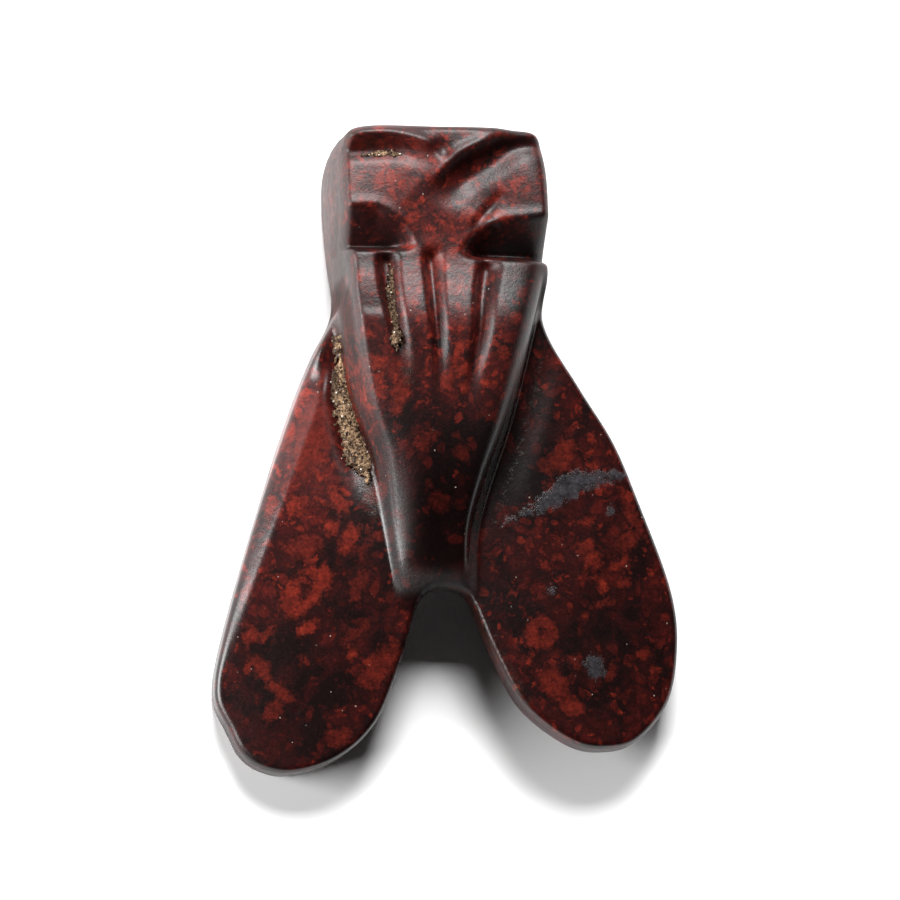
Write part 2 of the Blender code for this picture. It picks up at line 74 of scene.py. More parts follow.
# Wings
WING_ROOT_HEIGHT = 3.3 * MM
WING_EDGE_HEIGHT = 2.05 * MM
WING_THICKNESS = 1.7 * MM
TAIL_THICKNESS = 1.35 * MM
LEFT_TIP_DROOP = 0.95 * MM
RIGHT_TIP_DROOP = 0.15 * MM
WING_DOME = 0.18 * MM
WING_BEVEL_WIDTH = 0.75 * MM
WING_BEVEL_DROP = 0.45 * MM
CHANNEL_DEPTHS = (0.35 * MM, 0.08 * MM)
CHANNEL_WIDTH = 1.7 * MM
SLOPE_START = 0.02
DROOP_CURVE = 1.6
# Shares of their lines over which the channels and the bevel of the left wing set in and end
CHANNEL_START = (0.0, 0.35)
CHANNEL_END = (0.6, 1.0)
BEVEL_START = (0.0, 0.6)
BEVEL_END = (0.9, 1.0)
# The bevel's width near the tip, as a share, and where it has widened
BEVEL_LEAST_WIDTH = 0.4
BEVEL_WIDENS = (0.0, 0.8)
# Distance from the notch over which the tail's thickness passes into that of the wings
TAIL_REACH = 4.0 * MM

# Thorax: how far each flute spreads to its left and to its right, and its share of the full depth
FLUTE_LEFTS = (0.45 * MM, 0.27 * MM, 0.3 * MM)
FLUTE_RIGHTS = (0.42 * MM, 0.5 * MM, 0.62 * MM)
FLUTE_DEPTHS = (1.0, 0.8, 0.85)
# A flute's width at its foot, as a share, the shares of its line over which it sets in and ends, and
# the power that rounds its cross-section
FLUTE_FOOT_SHARE = 0.5
FLUTE_START = (0.0, 0.08)
FLUTE_END = (0.45, 1.0)
FLUTE_CURVE = 1.4
# The facet: how deep, where it starts and ends above its line, and how it fades to the right
FACET_DIP = 0.09 * MM
FACET_START = (0.0, 1.6)
FACET_END = (1.6, 7.0)
FACET_FADE = 1.5
# Powers of the body's curve, to its left and to its right
BODY_ROUNDS = (2.2, 12.0)
# Low lip along the right arris
LIP_RISE = 0.05 * MM
LIP_WIDTH = 0.2 * MM
LIP_START = (0.2, 0.35)
LIP_END = (0.7, 0.8)
# Step from the ledge down into the recesses, and the bevel of the ledge
LEDGE_RUN = 0.14 * MM
LEDGE_BEVEL = 0.3 * MM
LEDGE_BEVEL_DROP = 0.16 * MM

# Head
BROW_RISE = 0.2 * MM
BROW_WIDTH = 0.75 * MM
V_DEPTH = 0.22 * MM
V_WIDTH = 1.1 * MM
EYE_LID_RISE = 0.1 * MM
EYE_LID_WIDTH = 0.4 * MM
EYE_LID_FALL = 0.15 * MM
NICK_DEPTH = 0.15 * MM
NICK_WIDTH = 0.5 * MM
# Power that rounds a groove on its brow's side
BROW_SIDE_CURVE = 1.5
# Height of a recess on the carver's grid from which it has its full depth, and its least height
RECESS_OPENS = (0.0, 4.5)
LEAST_RECESS = 0.5

# Rounding of the rims and the bulge of the sides of the head
RIM_WIDTH = 0.28 * MM
WING_RIM_WIDTH = 0.2 * MM
HEAD_RIM_HEIGHT = 0.42 * MM
SIDE_RIM_HEIGHT = 1.3 * MM
WING_RIM_HEIGHT = 0.3 * MM
SIDE_BULGE = 0.12 * MM
# Grid of heights on which wear rounds the edges
WEAR_STEP = 0.05 * MM
WEAR_ROUNDS = 6

# Outline seen from above, clockwise from the middle of the top of the head: (across, along)
HEAD_TOP = ((-4.0, 100.0), (7.2, 99.9), (11.5, 99.2))
RIGHT_SIDE = (
    (12.9, 94.9), (13.7, 79.7), (14.9, 71.0), (20.6, 61.6), (26.3, 53.0), (30.4, 43.9), (36.1, 29.0),
)
RIGHT_TIP = ((36.9, 21.0), (35.2, 11.9), (29.8, 5.6), (25.0, 4.3), (20.2, 4.8))
RIGHT_INNER = ((11.7, 10.5), (6.5, 19.3), (3.4, 26.1))
NOTCH = ((2.0, 28.2), (-0.4, 28.9), (-3.2, 28.7), (-5.1, 26.9))
LEFT_INNER = ((-8.0, 17.5), (-12.2, 7.2), (-18.1, 2.0))
LEFT_TIP = ((-25.3, 0.0), (-30.0, 1.1), (-32.6, 3.2), (-34.4, 6.6), (-36.5, 10.9))
LEFT_WING_SIDE = ((-36.8, 14.0), (-35.9, 19.8), (-30.8, 39.4), (-24.1, 60.1), (-21.3, 67.0))
LEFT_HEAD_SIDE = ((-18.1, 74.0), (-18.9, 83.0), (-19.6, 91.0), (-19.3, 97.0), (-18.1, 99.2))
OUTLINE = (
    HEAD_TOP + RIGHT_SIDE + RIGHT_TIP + RIGHT_INNER + NOTCH
    + LEFT_INNER + LEFT_TIP + LEFT_WING_SIDE + LEFT_HEAD_SIDE
)

# Lines that run up the body: (across, along, up)
SPINE = (
    (-5.0, 24.0, 50.0), (-3.0, 29.0, 54.0), (-3.6, 35.0, 61.0), (-3.8, 45.0, 74.0),
    (-3.5, 57.0, 86.0), (-3.2, 65.5, 95.0), (-3.2, 70.0, 97.5), (-3.5, 80.0, 92.5), (-3.8, 86.0, 95.0),
    (-4.0, 93.0, 99.0), (-4.0, 101.0, 99.0),
)
LEFT_ARRIS = (
    (-8.0, 24.0, 50.0), (-7.9, 29.0, 51.0), (-8.9, 35.0, 54.5), (-10.1, 41.9, 61.5),
    (-11.5, 49.4, 71.0), (-14.3, 56.9, 80.0), (-16.5, 66.0, 91.5), (-17.3, 71.5, 95.0),
    (-18.5, 80.0, 91.0), (-18.8, 87.0, 96.5), (-18.9, 101.0, 96.5),
)
RIGHT_ARRIS = (
    (2.2, 24.0, 50.0), (2.3, 29.0, 51.0), (2.5, 37.6, 55.5), (4.4, 45.6, 63.0),
    (7.2, 54.2, 72.0), (10.7, 67.5, 82.0), (13.0, 78.0, 83.0), (13.2, 87.0, 94.0),
    (12.6, 101.0, 96.0),
)
# Widths of the flanks, across, at these places along the stone
FLANK_ALONG = (24.0, 35.0, 45.0, 57.0, 70.0, 101.0)
LEFT_FLANK = (1.8, 1.6, 1.4, 1.3, 1.2, 1.2)
RIGHT_FLANK = (1.8, 1.6, 1.4, 1.3, 1.2, 1.2)

# Across places where the slope of each wing starts and ends
LEFT_SLOPE = (-10.0, -36.0)
RIGHT_SLOPE = (4.0, 36.0)
# Places along: the tail's body sets in, the wings start to droop, the underside starts and ends its
# lift, the shoulder of the head, and the crown of the head; and the left side of the head, across
BODY_FADE = (24.0, 33.0)
DROOP_START = 42.0
UNDERSIDE_LIFT = (53.0, 38.0)
SHOULDER = (72.0, 78.0)
LEFT_SIDE = (-15.0, -17.5)
CROWN = (99.0, 96.0)

# Lines of the flutes, the channels, the ledge, the recesses, the grooves and the brows: (across, along)
FLUTES = (
    ((-12.3, 80.4), (-11.9, 74.2), (-11.0, 69.1), (-9.9, 65.0), (-8.7, 60.0)),
    ((-5.6, 81.0), (-5.2, 74.8), (-4.8, 69.6), (-4.2, 64.8), (-3.6, 57.0)),
    ((3.6, 79.9), (2.5, 72.7), (2.2, 67.5), (1.5, 62.5), (0.7, 55.5)),
)
LEFT_CHANNEL = ((-18.4, 71.0), (-17.6, 63.4), (-16.4, 55.3), (-14.4, 47.3), (-12.4, 41.0))
RIGHT_CHANNEL = ((15.6, 70.6), (14.0, 64.1), (11.9, 55.9), (9.4, 47.8), (6.6, 39.5))
LEDGE = ((-22.0, 81.1), (-10.5, 81.2), (-5.0, 81.3), (-0.6, 80.2), (15.0, 80.0))
LEFT_RECESS_TOP = ((-22.0, 86.7), (-14.0, 87.0), (-10.0, 84.6), (-7.6, 81.4))
RIGHT_RECESS_TOP = ((-0.8, 80.4), (1.9, 83.6), (6.1, 85.4), (15.0, 86.3))
LEFT_GROOVE = (
    (-22.0, 95.2), (-19.1, 95.6), (-15.8, 95.7), (-12.6, 95.8), (-9.9, 95.4), (-7.9, 94.7), (-5.8, 93.7),
    (-4.5, 92.0),
)
RIGHT_GROOVE = (
    (-3.2, 86.0), (-1.7, 89.4), (0.5, 91.6), (2.7, 93.0), (5.1, 94.5), (6.9, 96.1), (8.8, 97.3),
    (15.0, 98.0),
)
LEFT_BROW = (
    (-22.0, 96.9), (-19.2, 97.5), (-16.0, 98.2), (-12.4, 98.3), (-9.7, 97.9), (-7.5, 97.4), (-5.7, 96.7),
    (-4.6, 95.0),
)
RIGHT_BROW = ((-4.4, 92.2), (-3.3, 93.3), (-0.5, 95.7), (2.5, 97.1), (5.4, 98.3), (15.0, 99.3))
# Each groove's line, depth, width on the brow's side, width and share of the steep lip on the eye's
# side, width of the eye's facet, and where along the line it rises from nothing and falls to it
GROOVES = (
    (LEFT_GROOVE, 0.5 * MM, 0.55 * MM, 0.35 * MM, 0.35, 2.0 * MM, (-0.2, 0.0), (0.45, 1.0)),
    (RIGHT_GROOVE, 0.6 * MM, 1.0 * MM, 0.5 * MM, 0.28, 2.4 * MM, (0.0, 0.3), (1.0, 1.2)),
)
# Middle of the cut between the brows, the nick on the right of the head and the foot of the facet
V_PLACE = (-4.5, 95.8)
NICK = ((1.6, 84.0), (3.4, 86.5), (5.4, 88.8))
FACET_LINE = ((-20.0, 69.8), (-13.4, 69.4))

# Fragments in the stone that show on the carved side: (across, along), half length and half width
# in millimetres, turn in degrees and brightness
FRAGMENTS = (
    (-24.6, 41.6, 0.45, 0.35, 50, 0.6), (-28.5, 42.0, 0.45, 0.21, 75, 0.55),
    (-22.0, 52.5, 1.47, 0.59, 75, 0.36), (-18.6, 42.7, 0.45, 0.28, -70, 0.6),
    (-19.1, 38.0, 0.28, 0.24, 0, 0.65), (-16.5, 36.5, 0.52, 0.28, 60, 0.65),
    (-14.1, 35.0, 0.31, 0.21, 60, 0.35), (-23.2, 28.1, 1.12, 0.59, 50, 0.62),
    (-22.9, 22.3, 0.38, 0.26, 35, 0.8), (-15.7, 18.3, 0.24, 0.17, 80, 1.0),
    (-31.6, 21.6, 0.38, 0.23, 80, 0.55), (-28.9, 21.8, 0.31, 0.14, 50, 0.45),
    (-15.0, 29.2, 0.52, 0.35, 60, 0.33), (-15.1, 27.5, 0.21, 0.14, 50, 0.65),
    (-9.4, 30.9, 0.17, 0.12, 60, 0.7), (-11.4, 16.4, 1.05, 0.49, 55, 0.4),
    (-15.1, 21.9, 0.7, 0.17, 33, 0.33), (-29.8, 16.1, 0.49, 0.28, -50, 0.5),
    (-26.6, 12.7, 0.52, 0.28, -35, 0.6), (-27.9, 9.4, 0.45, 0.28, 60, 0.5),
    (-32.0, 28.6, 0.45, 0.16, 80, 0.6), (-12.4, 43.6, 0.45, 0.35, 70, 0.42),
    (-17.7, 5.3, 0.56, 0.31, 20, 0.33), (-12.1, 36.9, 0.28, 0.14, 10, 0.42),
    (-23.8, 35.1, 0.7, 0.45, 20, 0.27), (-20.3, 62.6, 0.31, 0.24, 30, 0.3),
    (17.5, 50.5, 0.7, 0.45, 60, 0.6), (15.7, 49.0, 0.38, 0.31, 0, 0.5), (15.8, 45.5, 0.21, 0.17, 0, 0.5),
    (22.4, 53.3, 0.21, 0.14, 80, 0.7), (21.6, 39.8, 0.17, 0.14, 0, 0.8), (21.5, 36.0, 0.31, 0.31, 0, 0.6),
    (22.6, 34.1, 0.42, 0.31, 0, 0.62), (27.4, 33.7, 0.45, 0.21, 30, 0.55),
    (28.7, 37.4, 0.49, 0.31, 30, 0.4), (24.3, 30.0, 0.24, 0.21, 90, 0.95),
    (27.7, 30.7, 0.28, 0.17, 20, 0.42), (25.0, 27.6, 0.35, 0.14, 25, 0.5),
    (14.7, 32.9, 0.21, 0.17, 0, 0.65), (16.6, 34.2, 0.19, 0.12, 20, 0.55),
    (21.0, 24.9, 0.19, 0.19, 0, 0.6), (14.2, 21.9, 0.63, 0.56, 60, 0.55),
    (19.8, 18.1, 0.38, 0.21, -60, 0.42), (23.7, 20.2, 0.14, 0.14, 0, 0.8),
    (31.4, 19.5, 0.35, 0.17, 20, 0.65), (11.9, 17.3, 0.17, 0.14, 0, 0.85),
    (16.0, 14.3, 0.7, 0.45, -50, 0.5), (19.3, 10.7, 0.52, 0.35, -20, 0.65),
    (25.7, 16.5, 0.31, 0.17, 70, 0.5), (32.5, 16.8, 0.24, 0.1, 80, 0.6),
    (29.4, 41.5, 0.91, 0.24, -65, 0.32), (23.3, 59.5, 0.28, 0.21, -50, 0.45),
    (-18.3, 93.6, 0.17, 0.14, -30, 0.6), (-16.7, 91.3, 0.28, 0.16, 0, 0.6),
    (-7.1, 93.4, 0.21, 0.12, 80, 0.6), (-7.8, 90.9, 0.17, 0.14, 60, 0.6),
    (-12.7, 87.7, 0.21, 0.19, 60, 0.5), (-9.5, 88.0, 0.23, 0.16, 80, 0.5),
    (3.9, 88.4, 0.31, 0.14, 20, 0.6), (9.7, 90.1, 0.21, 0.17, 80, 0.7), (2.4, 83.5, 0.19, 0.14, 40, 0.7),
    (9.6, 94.0, 0.21, 0.17, 40, 0.5), (-1.9, 85.6, 0.16, 0.14, 0, 0.5), (-4.2, 81.3, 0.14, 0.09, 0, 0.7),
    (-3.8, 78.5, 0.38, 0.19, -40, 0.85), (-17.1, 97.3, 0.42, 0.16, 10, 0.55),
    (6.1, 98.6, 0.31, 0.12, 0, 0.65), (-5.7, 73.6, 0.56, 0.14, 88, 0.8),
    (-2.6, 74.1, 0.28, 0.14, 85, 0.5), (-0.2, 69.5, 0.17, 0.16, 0, 0.6), (3.4, 68.6, 0.38, 0.17, 80, 0.5),
    (5.7, 64.2, 0.28, 0.19, 20, 0.7), (7.7, 69.5, 0.23, 0.19, 0, 0.6), (-13.8, 62.4, 0.31, 0.23, 0, 0.7),
    (-0.2, 61.6, 0.31, 0.21, 60, 0.7), (-9.7, 57.8, 0.7, 0.28, 70, 0.5),
    (-2.7, 59.9, 0.42, 0.21, 75, 0.5), (0.1, 58.8, 0.35, 0.21, 60, 0.6),
    (-5.6, 51.0, 0.42, 0.28, 30, 0.5), (0.0, 48.8, 0.35, 0.24, -30, 0.45),
    (-3.2, 41.6, 0.31, 0.42, 60, 0.35),
)
# Where the stone is redder or darker: partly its own colour, partly painted light on the lit eye facets and
# tops, and painted shade in the recesses under the eyes, the groove under the right brow, the right channel,
# the abdomen, the right slope of the thorax and the lower wings: (across, along), reach in millimetres and
# strength, redder and lighter above 0
WARM_LIT_AND_SHADED_PLACES = (
    (-24.0, 54.0, 2.2, 1.0), (-27.0, 33.0, 2.0, 0.3), (-25.0, 12.0, 3.0, -0.7), (-14.0, 26.0, 1.8, -0.4),
    (-3.0, 47.0, 2.0, -0.9), (-3.0, 35.0, 1.8, -0.8), (10.0, 50.0, 1.5, -1.0), (0.0, 62.0, 1.8, 0.5),
    (-14.0, 61.0, 0.9, 0.8), (-3.0, 84.0, 1.5, 0.8), (-13.0, 91.0, 1.5, 1.0), (8.0, 91.0, 1.6, 0.6),
    (-5.0, 98.0, 1.6, 0.3), (-13.0, 83.0, 0.9, -0.5), (9.0, 82.0, 0.9, -0.6), (9.0, 97.0, 1.2, -0.5),
    (-5.0, 73.0, 1.8, 0.6), (9.0, 70.0, 1.4, -0.3), (20.0, 20.0, 2.6, -0.35), (28.0, 22.0, 1.8, -0.3),
)
# Pits in the surface: (across, along), depth and width, in metres
PITS = ((-12.6, 47.8, 0.1 * MM, 0.28 * MM), (-24.2, 9.5, 0.03 * MM, 0.3 * MM))
# Dark middles left out of two fragments: (across, along), half length, half width and turn
HOLLOWS = ((-22.9, 28.9, 0.34, 0.17, 50), (14.1, 22.3, 0.12, 0.12, 0))
# Grey vein across the right wing, its half widths along it and the grey patches beside it: (across,
# along), half length and half width
VEIN = ((8.0, 39.2), (12.6, 41.4), (16.1, 43.5), (18.7, 45.6), (22.2, 46.8), (27.4, 47.8), (31.0, 48.6))
VEIN_WIDTHS = (0.06, 0.12, 0.34, 0.5, 0.36, 0.2, 0.1)
GREY_PATCHES = ((15.9, 29.3, 0.17, 0.26), (22.8, 17.0, 0.38, 0.46), (25.6, 42.2, 0.2, 0.18))

# Soil left in the cuts: the line it lies along, half its width, its depth over the floor of the cut
# and how much it falls to its sides, in millimetres, and how pale it is
SOIL_BEDS = (
    (
        (
            (-17.9, 68.8), (-17.7, 66.0), (-17.2, 62.0), (-16.5, 58.0), (-15.6, 53.3), (-14.6, 49.3),
            (-13.2, 45.0),
        ),
        0.85, 0.24, 0.14, 1.3,
    ),
    (((-11.6, 78.6), (-11.4, 72.7), (-11.1, 67.5), (-10.6, 63.4)), 0.42, 0.15, 0.05, 0.5),
    (((-17.0, 95.1), (-15.2, 95.3), (-12.6, 95.4), (-9.8, 95.3)), 0.2, 0.1, 0.06, 1.2),
)
# Thickness of a bed and distance between its points
SOIL_DEPTH = 0.35 * MM
SOIL_SPACING = 0.055 * MM
# Size and height of its lumps
SOIL_LUMPS = ((0.14 * MM, 0.035 * MM), (0.5 * MM, 0.042 * MM))
# Half width of a bed at its ends, as a share, and the shares of its line over which it swells and thins
SOIL_END_WIDTH = 0.35
SOIL_SWELLS = (0.0, 0.6)
SOIL_THINS = (1.0, 0.75)
# The same for its depth
SOIL_END_DEPTH = 0.3
SOIL_RISES = (0.0, 0.15)
SOIL_FALLS = (1.0, 0.8)
# Size of the clods and crumbs, and how far they push a bed's edge in or out, as shares of its half width
SOIL_CLODS = (0.4 * MM, 0.55)
SOIL_CRUMBS = (0.12 * MM, 0.6)
SOIL_END_PUSH = 0.7
# Shares of its half width over which a bed sinks into the stone, over which it surely does, and over
# which its paler middle ends
SOIL_EDGE = (0.45, 1.3)
SOIL_LAST = (0.85, 1.0)
SOIL_MIDDLE = (0.15, 0.95)
SOIL_SINKS = 1.3
# Height over the stone from which soil carries its full share of grains
SOIL_COVERS = 0.04 * MM
# Lines that soil stains, and how far from them
STAINS = (
    (LEFT_CHANNEL, 0.5), (RIGHT_CHANNEL, 0.2), (FLUTES[0], 0.4), (RIGHT_INNER, 0.35),
    (LEFT_GROOVE[1:5], 0.3), (LEFT_HEAD_SIDE, 0.45), (LEFT_ARRIS[5:9], 0.3),
    (((-21.0, 67.5), (-22.6, 63.6)), 0.35),
)
# Where the polish is worn: how much on the body, over which stretch it sets in, how much on the flanks
# and over which stretch
BODY_WEAR = 0.6
BODY_WEAR_START = (40.0, 62.0)
FLANK_WEAR = 8.0
FLANK_WEAR_START = (26.0, 31.0)

# Pattern of the stone; scales are per millimetre. Two warps bend it: scale and push of each
WARPS = ((1.1, 0.7), (5.0, 0.14))
# Scale, detail and roughness of the fine noise
FINE_NOISE = (9.0, 4.0, 0.7)
# Clouds laid over the matrix: colour, scale, detail and roughness of their noise, the values at which
# they start and are full, and how far they cover
CLOUDS = (
    ("Maroon", 0.8, 5.0, 0.62, 0.38, 0.58, 1.0),
    ("Red", 1.3, 6.0, 0.68, 0.5, 0.64, 0.7),
    ("Bright", 2.0, 5.0, 0.66, 0.56, 0.67, 0.75),
)
# How far the mark of redness, painted light and painted shade raises the clouds
CLOUD_WARMTH_LIGHT_AND_SHADE = 0.11
# Chips in the ground: colour, scale, share of the cells left empty, the distances at which a chip ends
# and is full, its least strength and what the mark of redness, painted light and painted shade adds
CHIPS = (
    ("Red", 1.9, 0.62, 0.46, 0.32, 0.25, 0.0),
    ("Bright", 3.6, 0.72, 0.42, 0.26, 0.0, 0.35),
)
CHIP_TONE = 0.6
# Dark lines between the larger cells: scale, half width and strength
CRACKS = (1.15, 0.09, 0.75)
CRACK_GAPS = (0.35, 0.6)
# The listed fragments: noises that break their edges and how far, the dark rim round each, its fill and
# the contrast inside it
FRAGMENT_EDGE = (2.4, 6.0, 0.72)
FRAGMENT_PUSH = 0.95
FRAGMENT_FRAY = 0.12
FRAGMENT_MIDDLE = 0.54
FRAGMENT_RIM = (-0.22, -0.02)
FRAGMENT_RIM_COVER = 0.55
FRAGMENT_BODY = (-0.1, 0.14)
FRAGMENT_COVER = 0.85
FRAGMENT_FILL = (3.4, 6.0, 0.75)
FRAGMENT_CONTRAST = (3.6, -0.85)
# Few single spots: warp, scale, share of the cells left empty, the distances at which a spot ends and is
# full, and how far it covers
SPOT_WARP = (5.0, 0.3)
SPOTS = (0.75, 0.72, 0.14, 0.1)
SPOT_COVER = 0.55
# The grey vein: noise of its edge and how far, where it starts and is full, and its flecks
VEIN_EDGE = (2.6, 6.0, 0.75)
VEIN_PUSH = 1.3
VEIN_BODY = (0.62, 0.85)
VEIN_COVER = 0.88
FLECKS = (3.6, 6.0, 0.75)
FLECK_CONTRAST = (5.2, -1.7)
LEAST_FLECK = 0.15
# Shade of the whole: what the mark of redness, painted light and painted shade adds, its most, and the
# contrast of the fine noise
SHADE_FROM_WARMTH_LIGHT_AND_SHADE = 0.5
MOST_SHADE = 1.15
SHADE_CONTRAST = (2.2, -0.1)
# Pale specks, partly the stone's own pale grains and partly painted glints, as for the spots
SPECK_AND_GLINT_WARP = (9.0, 0.05)
SPECKS_AND_GLINTS = (2.2, 0.45, 0.075, 0.045)
SPECK_AND_GLINT_COLOUR = (0.28, 0.22, 0.19, 1.0)
# Stains: noise of their edge and how far, where they start and are full, and the grit in them
STAIN_EDGE = (3.5, 6.0, 0.75)
STAIN_PUSH = 1.6
STAIN_BODY = (0.85, 1.5)
STAIN_COVER = 0.8
GRIT = (12.0, 3.0, 0.7)
GRIT_BODY = (0.55, 0.68)
GRIT_CONTRAST = (3.6, 0.3)
# What the fine noise, the wear, the vein and a stain add to the roughness and to the height of the grain
FINE_ROUGHNESS = 0.1
WEAR_ROUGHNESS = 0.24
VEIN_ROUGHNESS = 0.06
STAIN_ROUGHNESS = 0.1
LEAST_GRAIN = 0.4
WEAR_GRAIN = 1.8
STAIN_GRAIN = 1.2
VEIN_HEIGHT = 0.6
STONE_BUMP = 0.010 * MM
STONE_SPECULAR = 0.4

# Soil: noises of its crumbs and clumps, the values between which it turns pale, the scale and contrast
# of its fine noise, and the noise and height of its relief
CRUMB_NOISE = (11.0, 4.0, 0.7)
CLUMP_NOISE = (2.2, 3.0)
CLUMP_SHARE = 0.7
PALE_CLUMPS = (0.72, 1.02)
SOIL_FINE_SCALE = 26.0
SOIL_CONTRAST = (2.6, -0.4)
SOIL_BUMP_NOISE = (16.0, 3.0, 0.7)
SOIL_BUMP = 0.03 * MM
SOIL_ROUGHNESS = 0.85
SOIL_SPECULAR = 0.3
# Sand grains: the tones between which they turn pale and then white, their unevenness and flatness
PALE_GRAINS = (0.3, 1.3)
WHITE_GRAINS = (0.88, 0.95)
WHITE_GRAIN = (0.5, 0.46, 0.38, 1.0)
GRAIN_ROUGHNESS = 0.35
GRAIN_SPECULAR = 0.5
GRAIN_UNEVENNESS = 0.3
GRAIN_BUMPS = 3.0
GRAIN_FLATNESS = 0.75
PER_SQUARE_MILLIMETRE = 1.0e6
FULL_TURN = 6.28

# Fine relief of the carved side: height and length of the unevenness, of the grinding and of the
# abrasion across the thorax, and where the abrasion starts and ends
UNEVENNESS = (0.016 * MM, 1.5 * MM)
GRINDING = (0.002 * MM, 0.3 * MM)
ABRASION = (0.004 * MM, 0.2 * MM)
ABRASION_STRETCH = (0.15, 1.0, 1.0)
ABRASION_START = (50.0, 60.0)
ABRASION_END = (79.0, 80.0)
WALL_UNEVENNESS = (0.02 * MM, 0.7 * MM)

# Points of the surface: shares of the rim's width at which rings stand, on the carved side and below,
# how much wider apart points are towards the wing tips and below, and where the finer ones start
RIM_RINGS = (0.02, 0.08, 0.18, 0.32, 0.5, 0.75, 1.0)
UNDER_RINGS = (0.1, 0.35, 1.0)
WING_GAP = 1.25
UNDER_GAP = 2.6
FINE_START = 0.38
# Least gaps between points, as shares of their distance: to a line, to the rim and inside the field
LINE_GAP = 0.3
EDGE_GAP = 0.4
FIELD_GAP = 0.6
UNDER_EDGE_GAP = 0.5
# A ring's point is left out where the outline comes nearer than this share of the ring's inset
RING_GAP = 0.96
# The same in a bed of soil, between the points of its outline, to the outline and inside the field
SOIL_OUTLINE_GAP = 0.4
SOIL_EDGE_GAP = 0.5
SOIL_FIELD_GAP = 0.7
# Lines kept sharp: the arrises up to a share of the length, lines at these shares of the flanks, and the
# bevel's inner edge between these shares of its line
ARRIS_LINE_END = 0.775
FLANK_LINES = (0.0, 0.33, 0.67, 1.0)
BEVEL_LINE = (0.1, 0.92)

# Stage: half the floor's width, the size and place of both lights, and the camera's lens and target
FLOOR_HALF = 1.5
FLOOR_ROUGHNESS = 0.9
FLOOR_SPECULAR = 0.1
KEY_LIGHT = (0.14, (0.0, 0.25, 0.26))
LEFT_CARD = (0.24, (-0.38, -0.02, 0.11))
SENSOR_WIDTH = 36.0
LENS = 297.4
CAMERA_TARGET = (-0.033 * MM, 0.273 * MM, 2.5 * MM)


def ease(low, high, value):
    """0 at low, 1 at high and smooth between."""
    share = np.clip((value - low) / (high - low), 0.0, 1.0)
    return share * share * (3.0 - 2.0 * share)


def between(start, end, value):
    """1 from the end of one stretch to the start of another, 0 outside them and smooth across both."""
    return ease(*start, value) * (1.0 - ease(*end, value))


def smooth_line(knots, step, closed=False):
    """Points about a step apart on a centripetal Catmull-Rom curve through the knots."""
    knots = np.asarray(knots, float)
    if closed:
        padded = np.vstack([knots[-1:], knots, knots[:2]])
    else:
        padded = np.vstack([2 * knots[:1] - knots[1:2], knots, 2 * knots[-1:] - knots[-2:-1]])
    points = []
    for before, start, end, after in zip(padded, padded[1:], padded[2:], padded[3:]):
        lead, span, tail = (
            math.sqrt(np.linalg.norm(b - a)) for a, b in ((before, start), (start, end), (end, after))
        )
        chord = (end - start) / span
        leave = span * ((start - before) / lead - (end - before) / (lead + span) + chord)
        arrive = span * (chord - (after - start) / (span + tail) + (after - end) / tail)
        pieces = max(1, round(np.linalg.norm((end - start)[:2]) / step))
        for t in np.arange(pieces) / pieces:
            points.append(
                (2 * t**3 - 3 * t**2 + 1) * start + (t**3 - 2 * t**2 + t) * leave
                + (3 * t**2 - 2 * t**3) * end + (t**3 - t**2) * arrive
            )
    if not closed:
        points.append(knots[-1])
    return np.array(points)


def nearest_on(line, places):
    """Distance to a line, the share of it reached there, and the side: 1 on its left, -1 on its right."""
    start, run = line[:-1, :2], np.diff(line[:, :2], axis=0)
    found = []
    for part in np.array_split(places, 1 + len(places) * len(run) // 2_000_000):
        offset = part[:, None, :] - start
        share = np.clip((offset * run).sum(-1) / (run * run).sum(-1), 0.0, 1.0)
        gap = np.linalg.norm(offset - share[..., None] * run, axis=-1)
        piece = gap.argmin(1)
        row = np.arange(len(part))
        nearest = offset[row, piece]
        side = np.sign(run[piece, 0] * nearest[:, 1] - run[piece, 1] * nearest[:, 0])
        found.append((gap[row, piece], (piece + share[row, piece]) / len(run), side))
    return tuple(np.concatenate(column) for column in zip(*found))


def round_cut(distance, width):
    """Cross-section of a rounded cut or ridge: 1 in its middle and 0 from half its width out."""
    return 0.5 + 0.5 * np.cos(np.pi * np.clip(2.0 * distance / width, 0.0, 1.0))


def noise_at(points, feature, seed, octaves=3):
    """Smooth noise from about -1 to 1 at each point, with features of the given size."""
    shift = Vector((seed * 7.31, seed * 3.17, seed * 5.73))
    scaled = points / feature
    return np.array([noise.fractal(Vector(p) + shift, 1.0, 2.0, octaves) for p in scaled])


